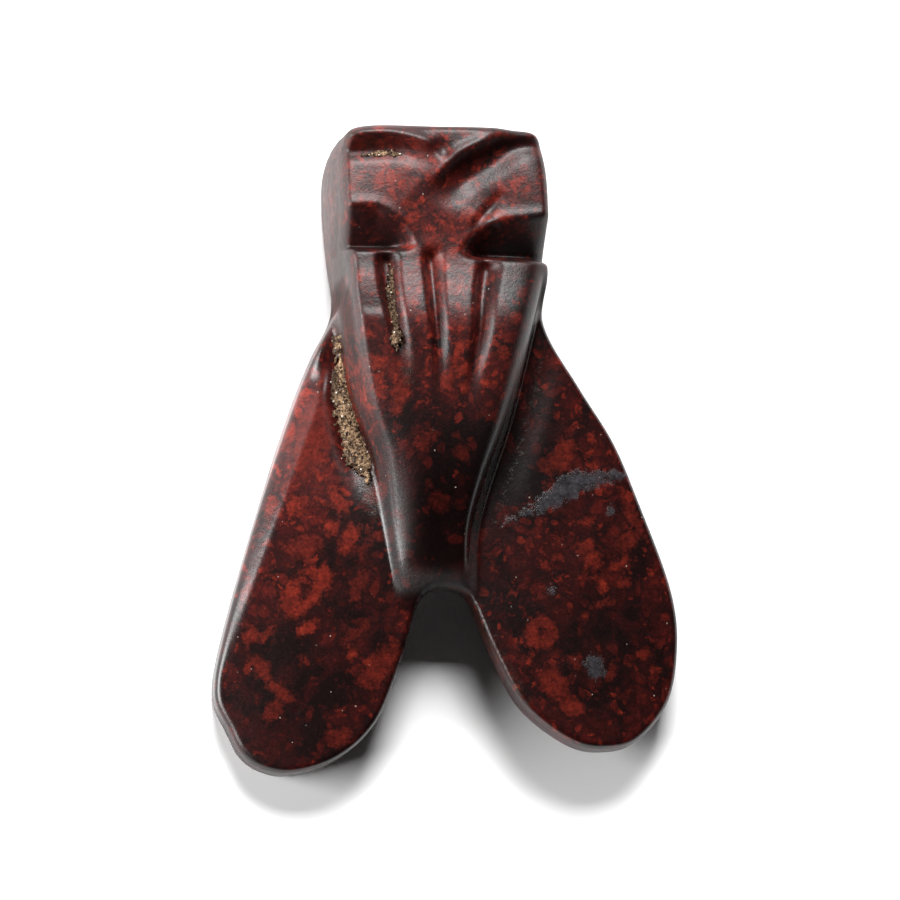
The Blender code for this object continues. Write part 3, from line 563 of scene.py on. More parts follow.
class Carving:
    """The carved form, from the maker's grid to real heights."""

    def __init__(self, form):
        self.form = form
        self.unit = np.array((form.span / GRID_ACROSS, form.length / GRID_ALONG, form.height / GRID_UP))
        self.spine = self.line(SPINE)
        self.arrises = (self.line(LEFT_ARRIS), self.line(RIGHT_ARRIS))

    def middle(self):
        """Middle of the outline, which stands over the frame's origin."""
        ring = smooth_line(self.metres(OUTLINE), 0.1 * MM, closed=True)
        return np.append((ring.min(axis=0) + ring.max(axis=0)) / 2, 0.0)

    def metres(self, places):
        """Real places of knots on the carver's grid."""
        places = np.array(places, float)
        return places * self.unit[: places.shape[-1]]

    def line(self, knots, step=0.2 * MM):
        """A smooth line through knots given on the carver's grid."""
        return smooth_line(self.metres(knots), step)

    def distance(self, knots, places):
        """Distance to a carved line, the share of it reached, and the side."""
        return nearest_on(self.line(knots), places)

    def wing_sheet(self, places):
        """Top of the two wings, which slope down and outwards like a roof."""
        across, along = (places / self.unit[:2]).T
        left = (across - LEFT_SLOPE[0]) / (LEFT_SLOPE[1] - LEFT_SLOPE[0])
        right = (across - RIGHT_SLOPE[0]) / (RIGHT_SLOPE[1] - RIGHT_SLOPE[0])
        out = sum(0.5 * (side + np.sqrt(side**2 + SLOPE_START)) for side in (left, right))
        height = WING_ROOT_HEIGHT + (WING_EDGE_HEIGHT - WING_ROOT_HEIGHT) * out
        height += WING_DOME * np.sin(np.pi * np.clip(out, 0.0, 1.0))
        droop = np.clip(1.0 - along / DROOP_START, 0.0, 1.0) ** DROOP_CURVE
        return height - droop * np.where(left > right, LEFT_TIP_DROOP, RIGHT_TIP_DROOP)

    def body_sheet(self, places):
        """Top of the head, thorax and abdomen between the two arrises, before the carving."""
        across, along = places.T
        centre = np.interp(along, self.spine[:, 1], self.spine[:, 0])
        crest = np.interp(along, self.spine[:, 1], self.spine[:, 2])
        height = np.zeros_like(across)
        for line, sign, power in zip(self.arrises, (-1, 1), BODY_ROUNDS):
            edge = np.interp(along, line[:, 1], line[:, 0])
            edge_height = np.interp(along, line[:, 1], line[:, 2])
            out = np.clip((across - centre) / (edge - centre), 0.0, 1.0)
            fall = (crest - edge_height) * out**power
            height = np.where((across - centre) * sign >= 0, crest - fall, height)
        return height

    def flank_share(self, places):
        """1 on the body, 0 on the wings, and between them on the steep flanks."""
        across, along = places.T
        grid_along = along / self.unit[1]
        shares = []
        for line, widths, sign in zip(self.arrises, (LEFT_FLANK, RIGHT_FLANK), (1, -1)):
            arris = np.interp(along, line[:, 1], line[:, 0])
            width = np.interp(grid_along, FLANK_ALONG, widths) * self.unit[0]
            shares.append(np.clip(1.0 + sign * (across - arris) / width, 0.0, 1.0))
        on_body = np.maximum(np.minimum(*shares), ease(*SHOULDER, grid_along))
        return on_body * ease(*BODY_FADE, grid_along)

    def head_carving(self, places):
        """Rise of the brows, less the grooves, the eye facets and the recesses under the eyes."""
        across, along = (places / self.unit[:2]).T
        change = np.zeros(len(places))
        for knots in (LEFT_BROW, RIGHT_BROW):
            change += BROW_RISE * round_cut(self.distance(knots, places)[0], BROW_WIDTH)
        for knots, depth, brow_width, lip_width, lip_share, facet, rise, fall in GROOVES:
            distance, reach, side = self.distance(knots, places)
            brow_side = np.clip(1.0 - (distance / brow_width) ** 2, 0.0, 1.0) ** BROW_SIDE_CURVE
            lip = np.clip(1.0 - distance / lip_width, 0.0, 1.0)
            eye_side = lip_share * lip + (1.0 - lip_share) * np.clip(1.0 - distance / facet, 0.0, 1.0)
            change -= depth * between(rise, fall, reach) * np.where(side > 0, brow_side, eye_side)
        v_distance = np.linalg.norm(places - self.metres(V_PLACE), axis=1)
        change -= V_DEPTH * round_cut(v_distance, V_WIDTH)
        change -= NICK_DEPTH * round_cut(self.distance(NICK, places)[0], NICK_WIDTH)
        ledge = np.interp(across, *np.array(LEDGE).T)
        riser = ease(-LEDGE_RUN, 0.0, (along - ledge) * self.unit[1])
        bevel = np.clip(1.0 - (ledge - along) * self.unit[1] / LEDGE_BEVEL, 0.0, 1.0) * (1.0 - riser)
        for knots in (LEFT_RECESS_TOP, RIGHT_RECESS_TOP):
            top = np.interp(across, *np.array(knots).T, left=ledge.min(), right=ledge.min())
            open_here = ease(*RECESS_OPENS, top - ledge)
            depth = np.clip((top - along) / np.maximum(top - ledge, LEAST_RECESS), 0.0, 1.0)
            change -= self.form.recess_depth * depth * riser * open_here
            change -= LEDGE_BEVEL_DROP * bevel * open_here
            above = (along - top) * self.unit[1]
            lid = np.where(above > 0, 1.0 - above / EYE_LID_WIDTH, 1.0 + above / EYE_LID_FALL)
            change += EYE_LID_RISE * np.clip(lid, 0.0, 1.0) * open_here
        return change

    def thorax_carving(self, places):
        """Depth of the three flutes and of the facet ground on the ridge at the left, less the lip."""
        across, along = (places / self.unit[:2]).T
        depth = np.zeros(len(places))
        for knots, left, right, share in zip(FLUTES, FLUTE_LEFTS, FLUTE_RIGHTS, FLUTE_DEPTHS):
            distance, reach, side = self.distance(knots, places)
            width = np.where(side > 0, right, left) * (1.0 - (1.0 - FLUTE_FOOT_SHARE) * reach)
            fade = between(FLUTE_START, FLUTE_END, reach)
            cut = np.clip(1.0 - (distance / width) ** 2, 0.0, 1.0) ** FLUTE_CURVE
            depth = np.maximum(depth, self.form.flute_depth * share * fade * cut)
        above = along - np.interp(across, *np.array(FACET_LINE).T)
        facet_side = 1.0 - ease(FACET_LINE[1][0], FACET_LINE[1][0] + FACET_FADE, across)
        dip = between(FACET_START, FACET_END, above)
        lip_distance, lip_reach, _ = nearest_on(self.arrises[1], places)
        lip = round_cut(lip_distance, 2 * LIP_WIDTH) * between(LIP_START, LIP_END, lip_reach)
        return LIP_RISE * lip - depth - FACET_DIP * facet_side * dip

    def channel_carving(self, places):
        """Depth of the worn channels at the feet of the flanks."""
        depth = np.zeros(len(places))
        for knots, full_depth in zip((LEFT_CHANNEL, RIGHT_CHANNEL), CHANNEL_DEPTHS):
            distance, reach, _ = self.distance(knots, places)
            fade = between(CHANNEL_START, CHANNEL_END, reach)
            depth += full_depth * fade * round_cut(distance, CHANNEL_WIDTH)
        return -depth

    def bevel_width(self, reach):
        """Width of the left wing's bevel, which narrows towards the tip."""
        widened = ease(*BEVEL_WIDENS, reach)
        return WING_BEVEL_WIDTH * (BEVEL_LEAST_WIDTH + (1.0 - BEVEL_LEAST_WIDTH) * widened)

    def wing_bevel(self, places):
        """Depth of the bevel along the outer edge of the left wing."""
        distance, reach, _ = self.distance(LEFT_TIP[-1:] + LEFT_WING_SIDE, places)
        width = self.bevel_width(reach)
        fade = between(BEVEL_START, BEVEL_END, reach)
        return -WING_BEVEL_DROP * fade * np.clip(1.0 - distance / width, 0.0, 1.0)

    def rim_drop(self, distance, width, height):
        """Fall of the surface where it rounds over within the rim's width of the outline."""
        inward = np.clip(1.0 - distance / width, 0.0, 1.0)
        return height * (1.0 - np.sqrt(1.0 - inward**2))

    def sheet_height(self, places):
        """Height of the carved side before its rim rounds over."""
        body = self.body_sheet(places) + self.head_carving(places) + self.thorax_carving(places)
        wings = self.wing_sheet(places) + self.channel_carving(places) + self.wing_bevel(places)
        return wings + (body - wings) * self.flank_share(places)

    def top_rim_drop(self, places, rim_distance):
        """Fall of the carved side where its rim rounds over."""
        on_body = self.flank_share(places)
        width = WING_RIM_WIDTH + (RIM_WIDTH - WING_RIM_WIDTH) * on_body
        rim = WING_RIM_HEIGHT + (HEAD_RIM_HEIGHT - WING_RIM_HEIGHT) * on_body
        across, along = (places / self.unit[:2]).T
        on_side = ease(*LEFT_SIDE, across) * ease(*SHOULDER, along) * ease(*CROWN, along)
        rim += (SIDE_RIM_HEIGHT - HEAD_RIM_HEIGHT) * on_side
        return self.rim_drop(rim_distance, width, rim)

    def underside_height(self, places, rim_distance):
        """Height of the underside: flat under the head and thorax, lifted under the tail and wings."""
        lift = 1.0 - ease(UNDERSIDE_LIFT[1], UNDERSIDE_LIFT[0], places[:, 1] / self.unit[1])
        near_tail = 1.0 - ease(0.0, TAIL_REACH, nearest_on(self.metres(NOTCH), places)[0])
        thickness = WING_THICKNESS + (TAIL_THICKNESS - WING_THICKNESS) * near_tail
        sheet = np.clip(self.wing_sheet(places) - thickness, 0.0, None)
        rim = HEAD_RIM_HEIGHT + (WING_RIM_HEIGHT - HEAD_RIM_HEIGHT) * lift
        return sheet * lift + self.rim_drop(rim_distance, RIM_WIDTH, rim)

    def feature_lines(self, step):
        """Lines of the carving that the surface keeps sharp."""
        lines = []
        flanks = ((LEFT_ARRIS, LEFT_FLANK, -1), (RIGHT_ARRIS, RIGHT_FLANK, 1))
        for knots, widths, sign in flanks:
            arris = self.line(knots, step)
            arris = arris[arris[:, 1] < self.form.length * ARRIS_LINE_END, :2]
            width = np.interp(arris[:, 1] / self.unit[1], FLANK_ALONG, widths) * self.unit[0]
            for share in FLANK_LINES:
                lines.append(arris + np.column_stack([sign * share * width, 0 * width]))
        ledge = self.line(LEDGE, step)
        lines += [ledge, ledge - (0.0, LEDGE_RUN)]
        for knots in (LEFT_GROOVE, RIGHT_GROOVE, LEFT_RECESS_TOP, RIGHT_RECESS_TOP):
            lines.append(self.line(knots, step))
        edge = self.line(LEFT_TIP[-1:] + LEFT_WING_SIDE, step)
        reach = np.linspace(0.0, 1.0, len(edge))
        run = np.gradient(edge, axis=0)
        inward = np.column_stack([run[:, 1], -run[:, 0]]) / np.linalg.norm(run, axis=1)[:, None]
        kept = (reach > BEVEL_LINE[0]) & (reach < BEVEL_LINE[1])
        lines.append((edge + inward * self.bevel_width(reach)[:, None])[kept])
        return lines


def scattered(ring, spacing, wanted=None):
    """Places of an even triangular pattern over the ring's box, where they are wanted."""
    low, high = ring.min(axis=0), ring.max(axis=0)
    row_gap = spacing * math.sqrt(3) / 2
    rows = np.arange(int((high[1] - low[1]) / row_gap) + 1)
    columns = np.arange(int((high[0] - low[0]) / spacing) + 1)
    column, row = np.meshgrid(columns, rows)
    across = low[0] + (column + row % 2 / 2) * spacing
    places = np.column_stack([across.ravel(), (low[1] + row * row_gap).ravel()])
    return places if wanted is None else places[wanted(places)]


def inside(places, ring, gap):
    """The places that lie inside the outline, clear of it by a gap."""
    distance, _, side = nearest_on(np.vstack([ring, ring[:1]]), places)
    return places[(side < 0) & (distance > gap)]


def rim_distance(places, ring):
    """Distance from each place to the outline."""
    return nearest_on(np.vstack([ring, ring[:1]]), places)[0]


def rim_rings(ring, insets):
    """Places at each inset from the outline, left out where another stretch of it is nearer."""
    tangent = np.roll(ring, -1, axis=0) - np.roll(ring, 1, axis=0)
    tangent /= np.linalg.norm(tangent, axis=1)[:, None]
    inward = np.column_stack([tangent[:, 1], -tangent[:, 0]])
    kept = []
    for inset in insets:
        places = ring + inward * inset
        kept.append(places[rim_distance(places, ring) > RING_GAP * inset])
    return np.vstack(kept)


def apart_from(places, taken, gap):
    """The places that are no nearer than a gap to those taken."""
    tree = KDTree(len(taken))
    for index, place in enumerate(taken):
        tree.insert((place[0], place[1], 0.0), index)
    tree.balance()
    return np.array([p for p in places if tree.find((p[0], p[1], 0.0))[2] >= gap])


def triangulated(ring, lines, places):
    """Constrained triangulation inside the ring: its places and its triangles."""
    points = [Vector(p) for p in ring]
    edges = []
    for line in lines:
        start = len(points)
        points += [Vector(p) for p in line]
        edges += [(i, i + 1) for i in range(start, len(points) - 1)]
    points += [Vector(p) for p in places]
    result = delaunay_2d_cdt(points, edges, [list(range(len(ring)))], 1, 1e-8)
    return np.array([tuple(p) for p in result[0]]), [tuple(face) for face in result[2]]


def boundary_loop(triangles):
    """Indices of the points round the edge of a sheet of triangles, in order."""
    edges = {(a, b) for face in triangles for a, b in zip(face, face[1:] + face[:1])}
    follows = {a: b for a, b in edges if (b, a) not in edges}
    loop = [min(follows)]
    while follows[loop[-1]] != loop[0]:
        loop.append(follows[loop[-1]])
    return loop


def wall_rows(carving, upper, lower, count):
    """Rows of the wall from its upper to its lower edge, bulging on the sides of the head."""
    rows = []
    for step in range(1, count + 1):
        share = step / (count + 1)
        row = upper + (lower - upper) * share
        run = np.roll(row, -1, axis=0) - np.roll(row, 1, axis=0)
        outward = np.column_stack([run[:, 1], -run[:, 0]]) / np.linalg.norm(run[:, :2], axis=1)[:, None]
        on_head = ease(*SHOULDER, row[:, 1] / carving.unit[1])
        bulge = SIDE_BULGE * math.sin(math.pi * share) * np.abs(outward[:, 0]) * on_head
        bulge += WALL_UNEVENNESS[0] * noise_at(row, WALL_UNEVENNESS[1], 5) * math.sin(math.pi * share)
        row[:, :2] += outward * bulge[:, None]
        rows.append(row)
    return rows


def worn_field(carving, ring):
    """Even grid of the carved side's heights, each averaged with those around it: low corner, heights."""
    low, high = ring.min(axis=0) - 4 * WEAR_STEP, ring.max(axis=0) + 4 * WEAR_STEP
    across, along = (np.arange(start, end, WEAR_STEP) for start, end in zip(low, high))
    places = np.column_stack([axis.ravel() for axis in np.meshgrid(across, along)])
    heights = carving.sheet_height(places).reshape(len(along), len(across))
    for _ in range(WEAR_ROUNDS):
        for axis in (0, 1):
            beside = np.roll(heights, 1, axis) + np.roll(heights, -1, axis)
            heights = 0.5 * heights + 0.25 * beside
    return low, heights


def read_field(field, places):
    """Heights of a grid at places between its points."""
    low, heights = field
    column, row = ((places - low) / WEAR_STEP).T
    left, front = column.astype(int), row.astype(int)
    right_share, back_share = column - left, row - front
    near = heights[front, left] * (1.0 - right_share) + heights[front, left + 1] * right_share
    far = heights[front + 1, left] * (1.0 - right_share) + heights[front + 1, left + 1] * right_share
    return near * (1.0 - back_share) + far * back_share


def fine_relief(carving, places):
    """Low unevenness of the hand-ground surface and the fine abrasion across the ridges."""
    flat = np.column_stack([places, np.zeros(len(places))])
    relief = UNEVENNESS[0] * noise_at(flat, UNEVENNESS[1], 1, 1)
    relief += GRINDING[0] * noise_at(flat, GRINDING[1], 2, 2)
    along = places[:, 1] / carving.unit[1]
    on_thorax = between(ABRASION_START, ABRASION_END, along)
    across_it = noise_at(flat * ABRASION_STRETCH, ABRASION[1], 3, 2)
    relief += ABRASION[0] * across_it * on_thorax * carving.flank_share(places)
    for across, up, depth, width in PITS:
        relief -= depth * round_cut(np.linalg.norm(places - carving.metres((across, up)), axis=1), width)
    return relief


def ellipse_depth(places, middle, long, short, turn):
    """How far each place lies inside an ellipse, in millimetres; below 0 outside it."""
    offset = (places - middle) / MM
    angle = math.radians(turn)
    ahead = offset @ (math.cos(angle), math.sin(angle))
    aside = offset @ (-math.sin(angle), math.cos(angle))
    return (1.0 - np.hypot(ahead / long, aside / short)) * min(long, short)


def mottling(carving, places):
    """Depth inside the listed fragments and the vein, the fragments' brightness, redness with painted light
    and painted shade, and wear.
    """
    depth = np.full(len(places), -1.0)
    tone = np.zeros(len(places))
    for across, along, long, short, turn, brightness in FRAGMENTS:
        inside_it = ellipse_depth(places, carving.metres((across, along)), long, short, turn)
        tone = np.where(inside_it > depth, brightness, tone)
        depth = np.maximum(depth, inside_it)
    for across, along, long, short, turn in HOLLOWS:
        depth = np.minimum(depth, -ellipse_depth(places, carving.metres((across, along)), long, short, turn))
    distance, reach, _ = nearest_on(carving.line(VEIN), places)
    grey = np.interp(reach, np.linspace(0.0, 1.0, len(VEIN_WIDTHS)), VEIN_WIDTHS) - distance / MM
    for across, along, long, short in GREY_PATCHES:
        grey = np.maximum(grey, ellipse_depth(places, carving.metres((across, along)), long, short, 0.0))
    warmth = np.zeros(len(places))
    # Redness of the stone together with painted light on lit facets and painted shade in recesses, the right
    # channel and the lower wings
    for across, along, reach, strength in WARM_LIT_AND_SHADED_PLACES:
        away = np.linalg.norm(places - carving.metres((across, along)), axis=1) / (reach * MM)
        warmth += strength * np.exp(-(away**2))
    share = carving.flank_share(places)
    along = places[:, 1] / carving.unit[1]
    wear = BODY_WEAR * share * ease(*BODY_WEAR_START, along)
    wear += FLANK_WEAR * share * (1.0 - share) * ease(*FLANK_WEAR_START, along)
    return {
        "fragment_depth": depth, "fragment_tone": tone, "vein_depth": np.maximum(grey, -1.0),
        "warmth": warmth, "wear": wear,
    }


def stain_depth(carving, places):
    """How far each place lies inside the soil's stains, in millimetres."""
    depth = np.full(len(places), -1.0)
    for knots, reach in STAINS:
        depth = np.maximum(depth, reach - carving.distance(knots, places)[0] / MM)
    return depth


def stone_surface(carving):
    """Points, faces and marks of the whole stone: carved side, underside and wall."""
    form = carving.form
    fine, coarse, under = form.detail, WING_GAP * form.detail, UNDER_GAP * form.detail
    ring = smooth_line(carving.metres(OUTLINE), fine, closed=True)
    lines = [inside(line, ring, LINE_GAP * fine) for line in carving.feature_lines(fine)]
    fine_from = FINE_START * form.length
    field = np.vstack([
        scattered(ring, fine, lambda p: p[:, 1] >= fine_from),
        scattered(ring, coarse, lambda p: p[:, 1] < fine_from),
    ])
    rings = rim_rings(ring, RIM_WIDTH * np.array(RIM_RINGS))
    rings = apart_from(rings, np.vstack(lines), LINE_GAP * fine)
    field = inside(field, ring, RIM_WIDTH + EDGE_GAP * fine)
    field = apart_from(field, np.vstack(lines + [rings]), FIELD_GAP * fine)
    top, top_faces = triangulated(ring, lines, np.vstack([rings, field]))
    loop = boundary_loop(top_faces)
    edge = top[loop][::-1]

    low_rings = rim_rings(edge, RIM_WIDTH * np.array(UNDER_RINGS))
    low_field = inside(scattered(ring, under), edge, RIM_WIDTH + UNDER_EDGE_GAP * under)
    low, low_faces = triangulated(edge, [], np.vstack([low_rings, low_field]))
    found = {tuple(place): index for index, place in enumerate(low)}
    low_loop = [found[tuple(place)] for place in top[loop]]

    top_rim = rim_distance(top, edge)
    top_up = read_field(worn_field(carving, ring), top) - carving.top_rim_drop(top, top_rim)
    top_up += fine_relief(carving, top) * ease(0.0, RIM_WIDTH, top_rim)
    top_points = np.column_stack([top, top_up])
    low_points = np.column_stack([low, carving.underside_height(low, rim_distance(low, edge))])
    rows, points = [loop], [top_points]
    start = len(top_points)
    for row in wall_rows(carving, top_points[loop], low_points[low_loop], form.wall_rows):
        points.append(row)
        rows.append(list(range(start, start + len(loop))))
        start += len(loop)
    rows.append([start + index for index in low_loop])
    points.append(low_points)

    sheet = np.vstack(points[:-1])[:, :2]
    marks = dict(mottling(carving, sheet), stain_depth=stain_depth(carving, sheet))
    for name, values in marks.items():
        below = np.full(len(low), 0.0 if name in ("warmth", "wear") else -1.0)
        marks[name] = np.concatenate([values, below])
    faces = top_faces + [tuple(start + index for index in face[::-1]) for face in low_faces]
    for upper, lower in zip(rows, rows[1:]):
        for a, b, c, d in zip(upper, lower, lower[1:] + lower[:1], upper[1:] + upper[:1]):
            faces.append((a, b, c, d))
    return np.vstack(points), faces, marks


def soil_bed(carving, ring, knots, reach, depth, fall):
    """A closed cushion of soil sunk along a cut, how much of it shows and how near it is to the middle."""
    line = carving.line(knots, SOIL_SPACING)
    tangent = np.gradient(line, axis=0)
    aside = np.column_stack([-tangent[:, 1], tangent[:, 0]]) / np.linalg.norm(tangent, axis=1)[:, None]
    along = np.linspace(0.0, 1.0, len(line))
    full = np.minimum(ease(*SOIL_SWELLS, along), ease(*SOIL_THINS, along))
    spread = reach * MM * (SOIL_END_WIDTH + (1.0 - SOIL_END_WIDTH) * full)[:, None]
    outline = np.vstack([line + spread * aside, (line - spread * aside)[::-1]])
    gaps = np.linalg.norm(outline - np.roll(outline, 1, axis=0), axis=1)
    outline = outline[gaps > SOIL_OUTLINE_GAP * SOIL_SPACING]
    field = inside(scattered(outline, SOIL_SPACING), outline, SOIL_EDGE_GAP * SOIL_SPACING)
    field = apart_from(field, outline, SOIL_FIELD_GAP * SOIL_SPACING)
    top, faces = triangulated(outline, [], field)
    distance, share, _ = nearest_on(line, top)
    distance /= np.interp(share, along, spread[:, 0])
    stone = carving.sheet_height(top) - carving.top_rim_drop(top, rim_distance(top, ring))
    floor = np.interp(share, along, carving.sheet_height(line))
    flat = np.column_stack([top, np.zeros(len(top))])
    ends = np.minimum(ease(*SOIL_RISES, share), ease(*SOIL_FALLS, share))
    height = floor + depth * MM * (SOIL_END_DEPTH + (1.0 - SOIL_END_DEPTH) * ends) - fall * MM * distance**2
    for seed, (size, rise) in enumerate(SOIL_LUMPS, 7):
        height += rise * noise_at(flat, size, seed)
    ragged = distance + SOIL_END_PUSH * (1.0 - ends)
    ragged += SOIL_CLODS[1] * noise_at(flat, SOIL_CLODS[0], 9)
    ragged += SOIL_CRUMBS[1] * noise_at(flat, SOIL_CRUMBS[0], 10)
    height -= SOIL_SINKS * SOIL_DEPTH * np.maximum(ease(*SOIL_EDGE, ragged), ease(*SOIL_LAST, distance))
    shows = np.clip((height - stone) / SOIL_COVERS, 0.0, 1.0)
    loop = boundary_loop(faces)
    count = len(top)
    under = height - SOIL_DEPTH
    points = np.vstack([np.column_stack([top, height]), np.column_stack([top, under])])
    closed = faces + [tuple(count + index for index in face[::-1]) for face in faces]
    closed += [(a, a + count, b + count, b) for a, b in zip(loop, loop[1:] + loop[:1])]
    middle = np.tile(1.0 - ease(*SOIL_MIDDLE, distance), 2)
    return points, closed, np.concatenate([shows, np.zeros(count)]), middle


def new_piece(name, points, faces):
    """A smooth-shaded mesh object at the origin."""
    mesh = bpy.data.meshes.new(name)
    mesh.from_pydata([tuple(point) for point in points], [], faces)
    mesh.update()
    mesh.shade_smooth()
    piece = bpy.data.objects.new(name, mesh)
    bpy.context.scene.collection.objects.link(piece)
    return piece


def add_marks(piece, name, values):
    """Writes one value for each point of a piece."""
    piece.data.attributes.new(name, "FLOAT", "POINT").data.foreach_set("value", values)


def add_node(tree, kind, inputs=(), **settings):
    """A new node with its settings, and with values or links in its inputs."""
    made = tree.nodes.new(kind)
    for name, value in settings.items():
        setattr(made, name, value)
    for key, value in dict(inputs).items():
        if isinstance(value, bpy.types.NodeSocket):
            tree.links.new(value, made.inputs[key])
        else:
            made.inputs[key].default_value = value
    return made


def maths(tree, operation, *values):
    """The result of a Math node."""
    return add_node(tree, "ShaderNodeMath", dict(enumerate(values)), operation=operation).outputs[0]


def stepped(tree, value, low, high):
    """0 where the value is under low, 1 over high and smooth between."""
    inputs = {"Value": value, "From Min": low, "From Max": high}
    return add_node(
        tree, "ShaderNodeMapRange", inputs, interpolation_type="SMOOTHSTEP", clamp=True
    ).outputs["Result"]


def mixed(tree, share, first, second):
    """The second colour laid over the first by a share."""
    made = add_node(tree, "ShaderNodeMix", data_type="RGBA")
    for socket, value in ((made.inputs[0], share), (made.inputs[6], first), (made.inputs[7], second)):
        if isinstance(value, bpy.types.NodeSocket):
            tree.links.new(value, socket)
        else:
            socket.default_value = value
    return made.outputs[2]


def warped(tree, place, scale, amount):
    """A place pushed about by noise."""
    push = add_node(tree, "ShaderNodeTexNoise", {"Vector": place, "Scale": scale, "Detail": 2.0})
    centred = add_node(
        tree, "ShaderNodeVectorMath", {0: push.outputs["Color"], 1: (0.5, 0.5, 0.5)}, operation="SUBTRACT"
    )
    scaled = add_node(
        tree, "ShaderNodeVectorMath", {0: centred.outputs[0], "Scale": amount}, operation="SCALE"
    )
    return add_node(
        tree, "ShaderNodeVectorMath", {0: place, 1: scaled.outputs[0]}, operation="ADD"
    ).outputs[0]


def noise_of(tree, place, scale, detail=3.0, roughness=0.55):
    """A noise texture's value."""
    inputs = {"Vector": place, "Scale": scale, "Detail": detail, "Roughness": roughness}
    return add_node(tree, "ShaderNodeTexNoise", inputs).outputs[0]


def cells(tree, place, scale, least):
    """Distance to the middle of each cell, and 1 in the cells whose own random value is over the least."""
    cell = add_node(tree, "ShaderNodeTexVoronoi", {"Vector": place, "Scale": scale})
    value = add_node(tree, "ShaderNodeSeparateColor", {"Color": cell.outputs["Color"]})
    return cell.outputs["Distance"], maths(tree, "GREATER_THAN", value.outputs[0], least), value.outputs[1]


def scaled_colour(tree, colour, factor):
    """A colour made darker or brighter by a factor."""
    return add_node(tree, "ShaderNodeVectorMath", {0: colour, "Scale": factor}, operation="SCALE").outputs[0]


def object_millimetres(tree):
    """Object coordinates in millimetres."""
    place = add_node(tree, "ShaderNodeTexCoord").outputs["Object"]
    return add_node(tree, "ShaderNodeVectorMath", {0: place, "Scale": 1000.0}, operation="SCALE").outputs[0]


def group_of(name, inputs, outputs):
    """A new shader node group with its sockets, and the nodes for its inputs and outputs."""
    group = bpy.data.node_groups.new(name, "ShaderNodeTree")
    for socket, kind, value in inputs:
        made = group.interface.new_socket(socket, in_out="INPUT", socket_type=kind)
        made.default_value = value
    for socket, kind in outputs:
        group.interface.new_socket(socket, in_out="OUTPUT", socket_type=kind)
    return group, group.nodes.new("NodeGroupInput"), group.nodes.new("NodeGroupOutput")


# The fifth mark holds the stone's redness together with painted light and painted shade
MARKS = ("Fragment Depth", "Fragment Tone", "Vein Depth", "Stain Depth", "Warmth", "Wear")


def ground_colour(tree, source, bent, fine):
    """Clouds and chips over the dark matrix, with dark lines between them."""
    colour = source["Matrix"]
    for name, scale, detail, roughness, low, high, cover in CLOUDS:
        level = noise_of(tree, bent, scale, detail, roughness)
        # The mark of redness, painted light and painted shade raises or lowers the clouds
        level = maths(tree, "MULTIPLY_ADD", source["Warmth"], CLOUD_WARMTH_LIGHT_AND_SHADE, level)
        share = maths(tree, "MULTIPLY", stepped(tree, level, low, high), cover)
        colour = mixed(tree, share, colour, source[name])
    for name, scale, least, end, full, strength, warmth in CHIPS:
        distance, chosen, tone = cells(tree, bent, scale, least)
        strong = maths(tree, "MULTIPLY_ADD", tone, CHIP_TONE, strength)
        strong = maths(tree, "MULTIPLY_ADD", source["Warmth"], warmth, strong)
        share = maths(tree, "MULTIPLY", stepped(tree, distance, end, full), chosen)
        colour = mixed(tree, maths(tree, "MULTIPLY", share, strong), colour, source[name])
    scale, width, strength = CRACKS
    inputs = {"Vector": bent, "Scale": scale}
    edge = add_node(tree, "ShaderNodeTexVoronoi", inputs, feature="DISTANCE_TO_EDGE").outputs["Distance"]
    line = maths(tree, "MULTIPLY", stepped(tree, edge, width, 0.0), stepped(tree, fine, *CRACK_GAPS))
    return mixed(tree, maths(tree, "MULTIPLY", line, strength), colour, source["Matrix"])


def with_fragments(tree, source, place, colour):
    """The listed fragments laid over a colour, each with a dark rim, and a few single spots."""
    ragged = noise_of(tree, place, *FRAGMENT_EDGE)
    ragged = maths(tree, "MULTIPLY_ADD", ragged, FRAGMENT_PUSH, source["Fragment Depth"])
    ragged = maths(tree, "SUBTRACT", ragged, FRAGMENT_MIDDLE)
    ragged = maths(tree, "MULTIPLY_ADD", noise_of(tree, place, FINE_NOISE[0]), FRAGMENT_FRAY, ragged)
    rim = maths(tree, "MULTIPLY", stepped(tree, ragged, *FRAGMENT_RIM), FRAGMENT_RIM_COVER)
    colour = mixed(tree, rim, colour, source["Matrix"])
    fill = mixed(tree, source["Fragment Tone"], source["Maroon"], source["Bright"])
    uneven = maths(tree, "MULTIPLY_ADD", noise_of(tree, place, *FRAGMENT_FILL), *FRAGMENT_CONTRAST)
    solid = maths(tree, "MULTIPLY", stepped(tree, ragged, *FRAGMENT_BODY), FRAGMENT_COVER)
    colour = mixed(tree, solid, colour, scaled_colour(tree, fill, uneven))
    spot, _ = dots(tree, warped(tree, place, *SPOT_WARP), *SPOTS)
    return mixed(tree, maths(tree, "MULTIPLY", spot, SPOT_COVER), colour, source["Bright"])


def dots(tree, place, scale, least, end, full):
    """Small dots in the middles of the chosen cells, and each cell's random value."""
    distance, chosen, tone = cells(tree, place, scale, least)
    return maths(tree, "MULTIPLY", stepped(tree, distance, end, full), chosen), tone


def with_vein(tree, source, place, colour):
    """The grey vein laid over a colour, and how far it covers each place."""
    grey = maths(tree, "MULTIPLY_ADD", noise_of(tree, place, *VEIN_EDGE), VEIN_PUSH, source["Vein Depth"])
    grey = stepped(tree, grey, *VEIN_BODY)
    flecks = maths(tree, "MULTIPLY_ADD", noise_of(tree, place, *FLECKS), *FLECK_CONTRAST)
    tone = scaled_colour(tree, source["Vein"], maths(tree, "MAXIMUM", flecks, LEAST_FLECK))
    return mixed(tree, maths(tree, "MULTIPLY", grey, VEIN_COVER), colour, tone), grey


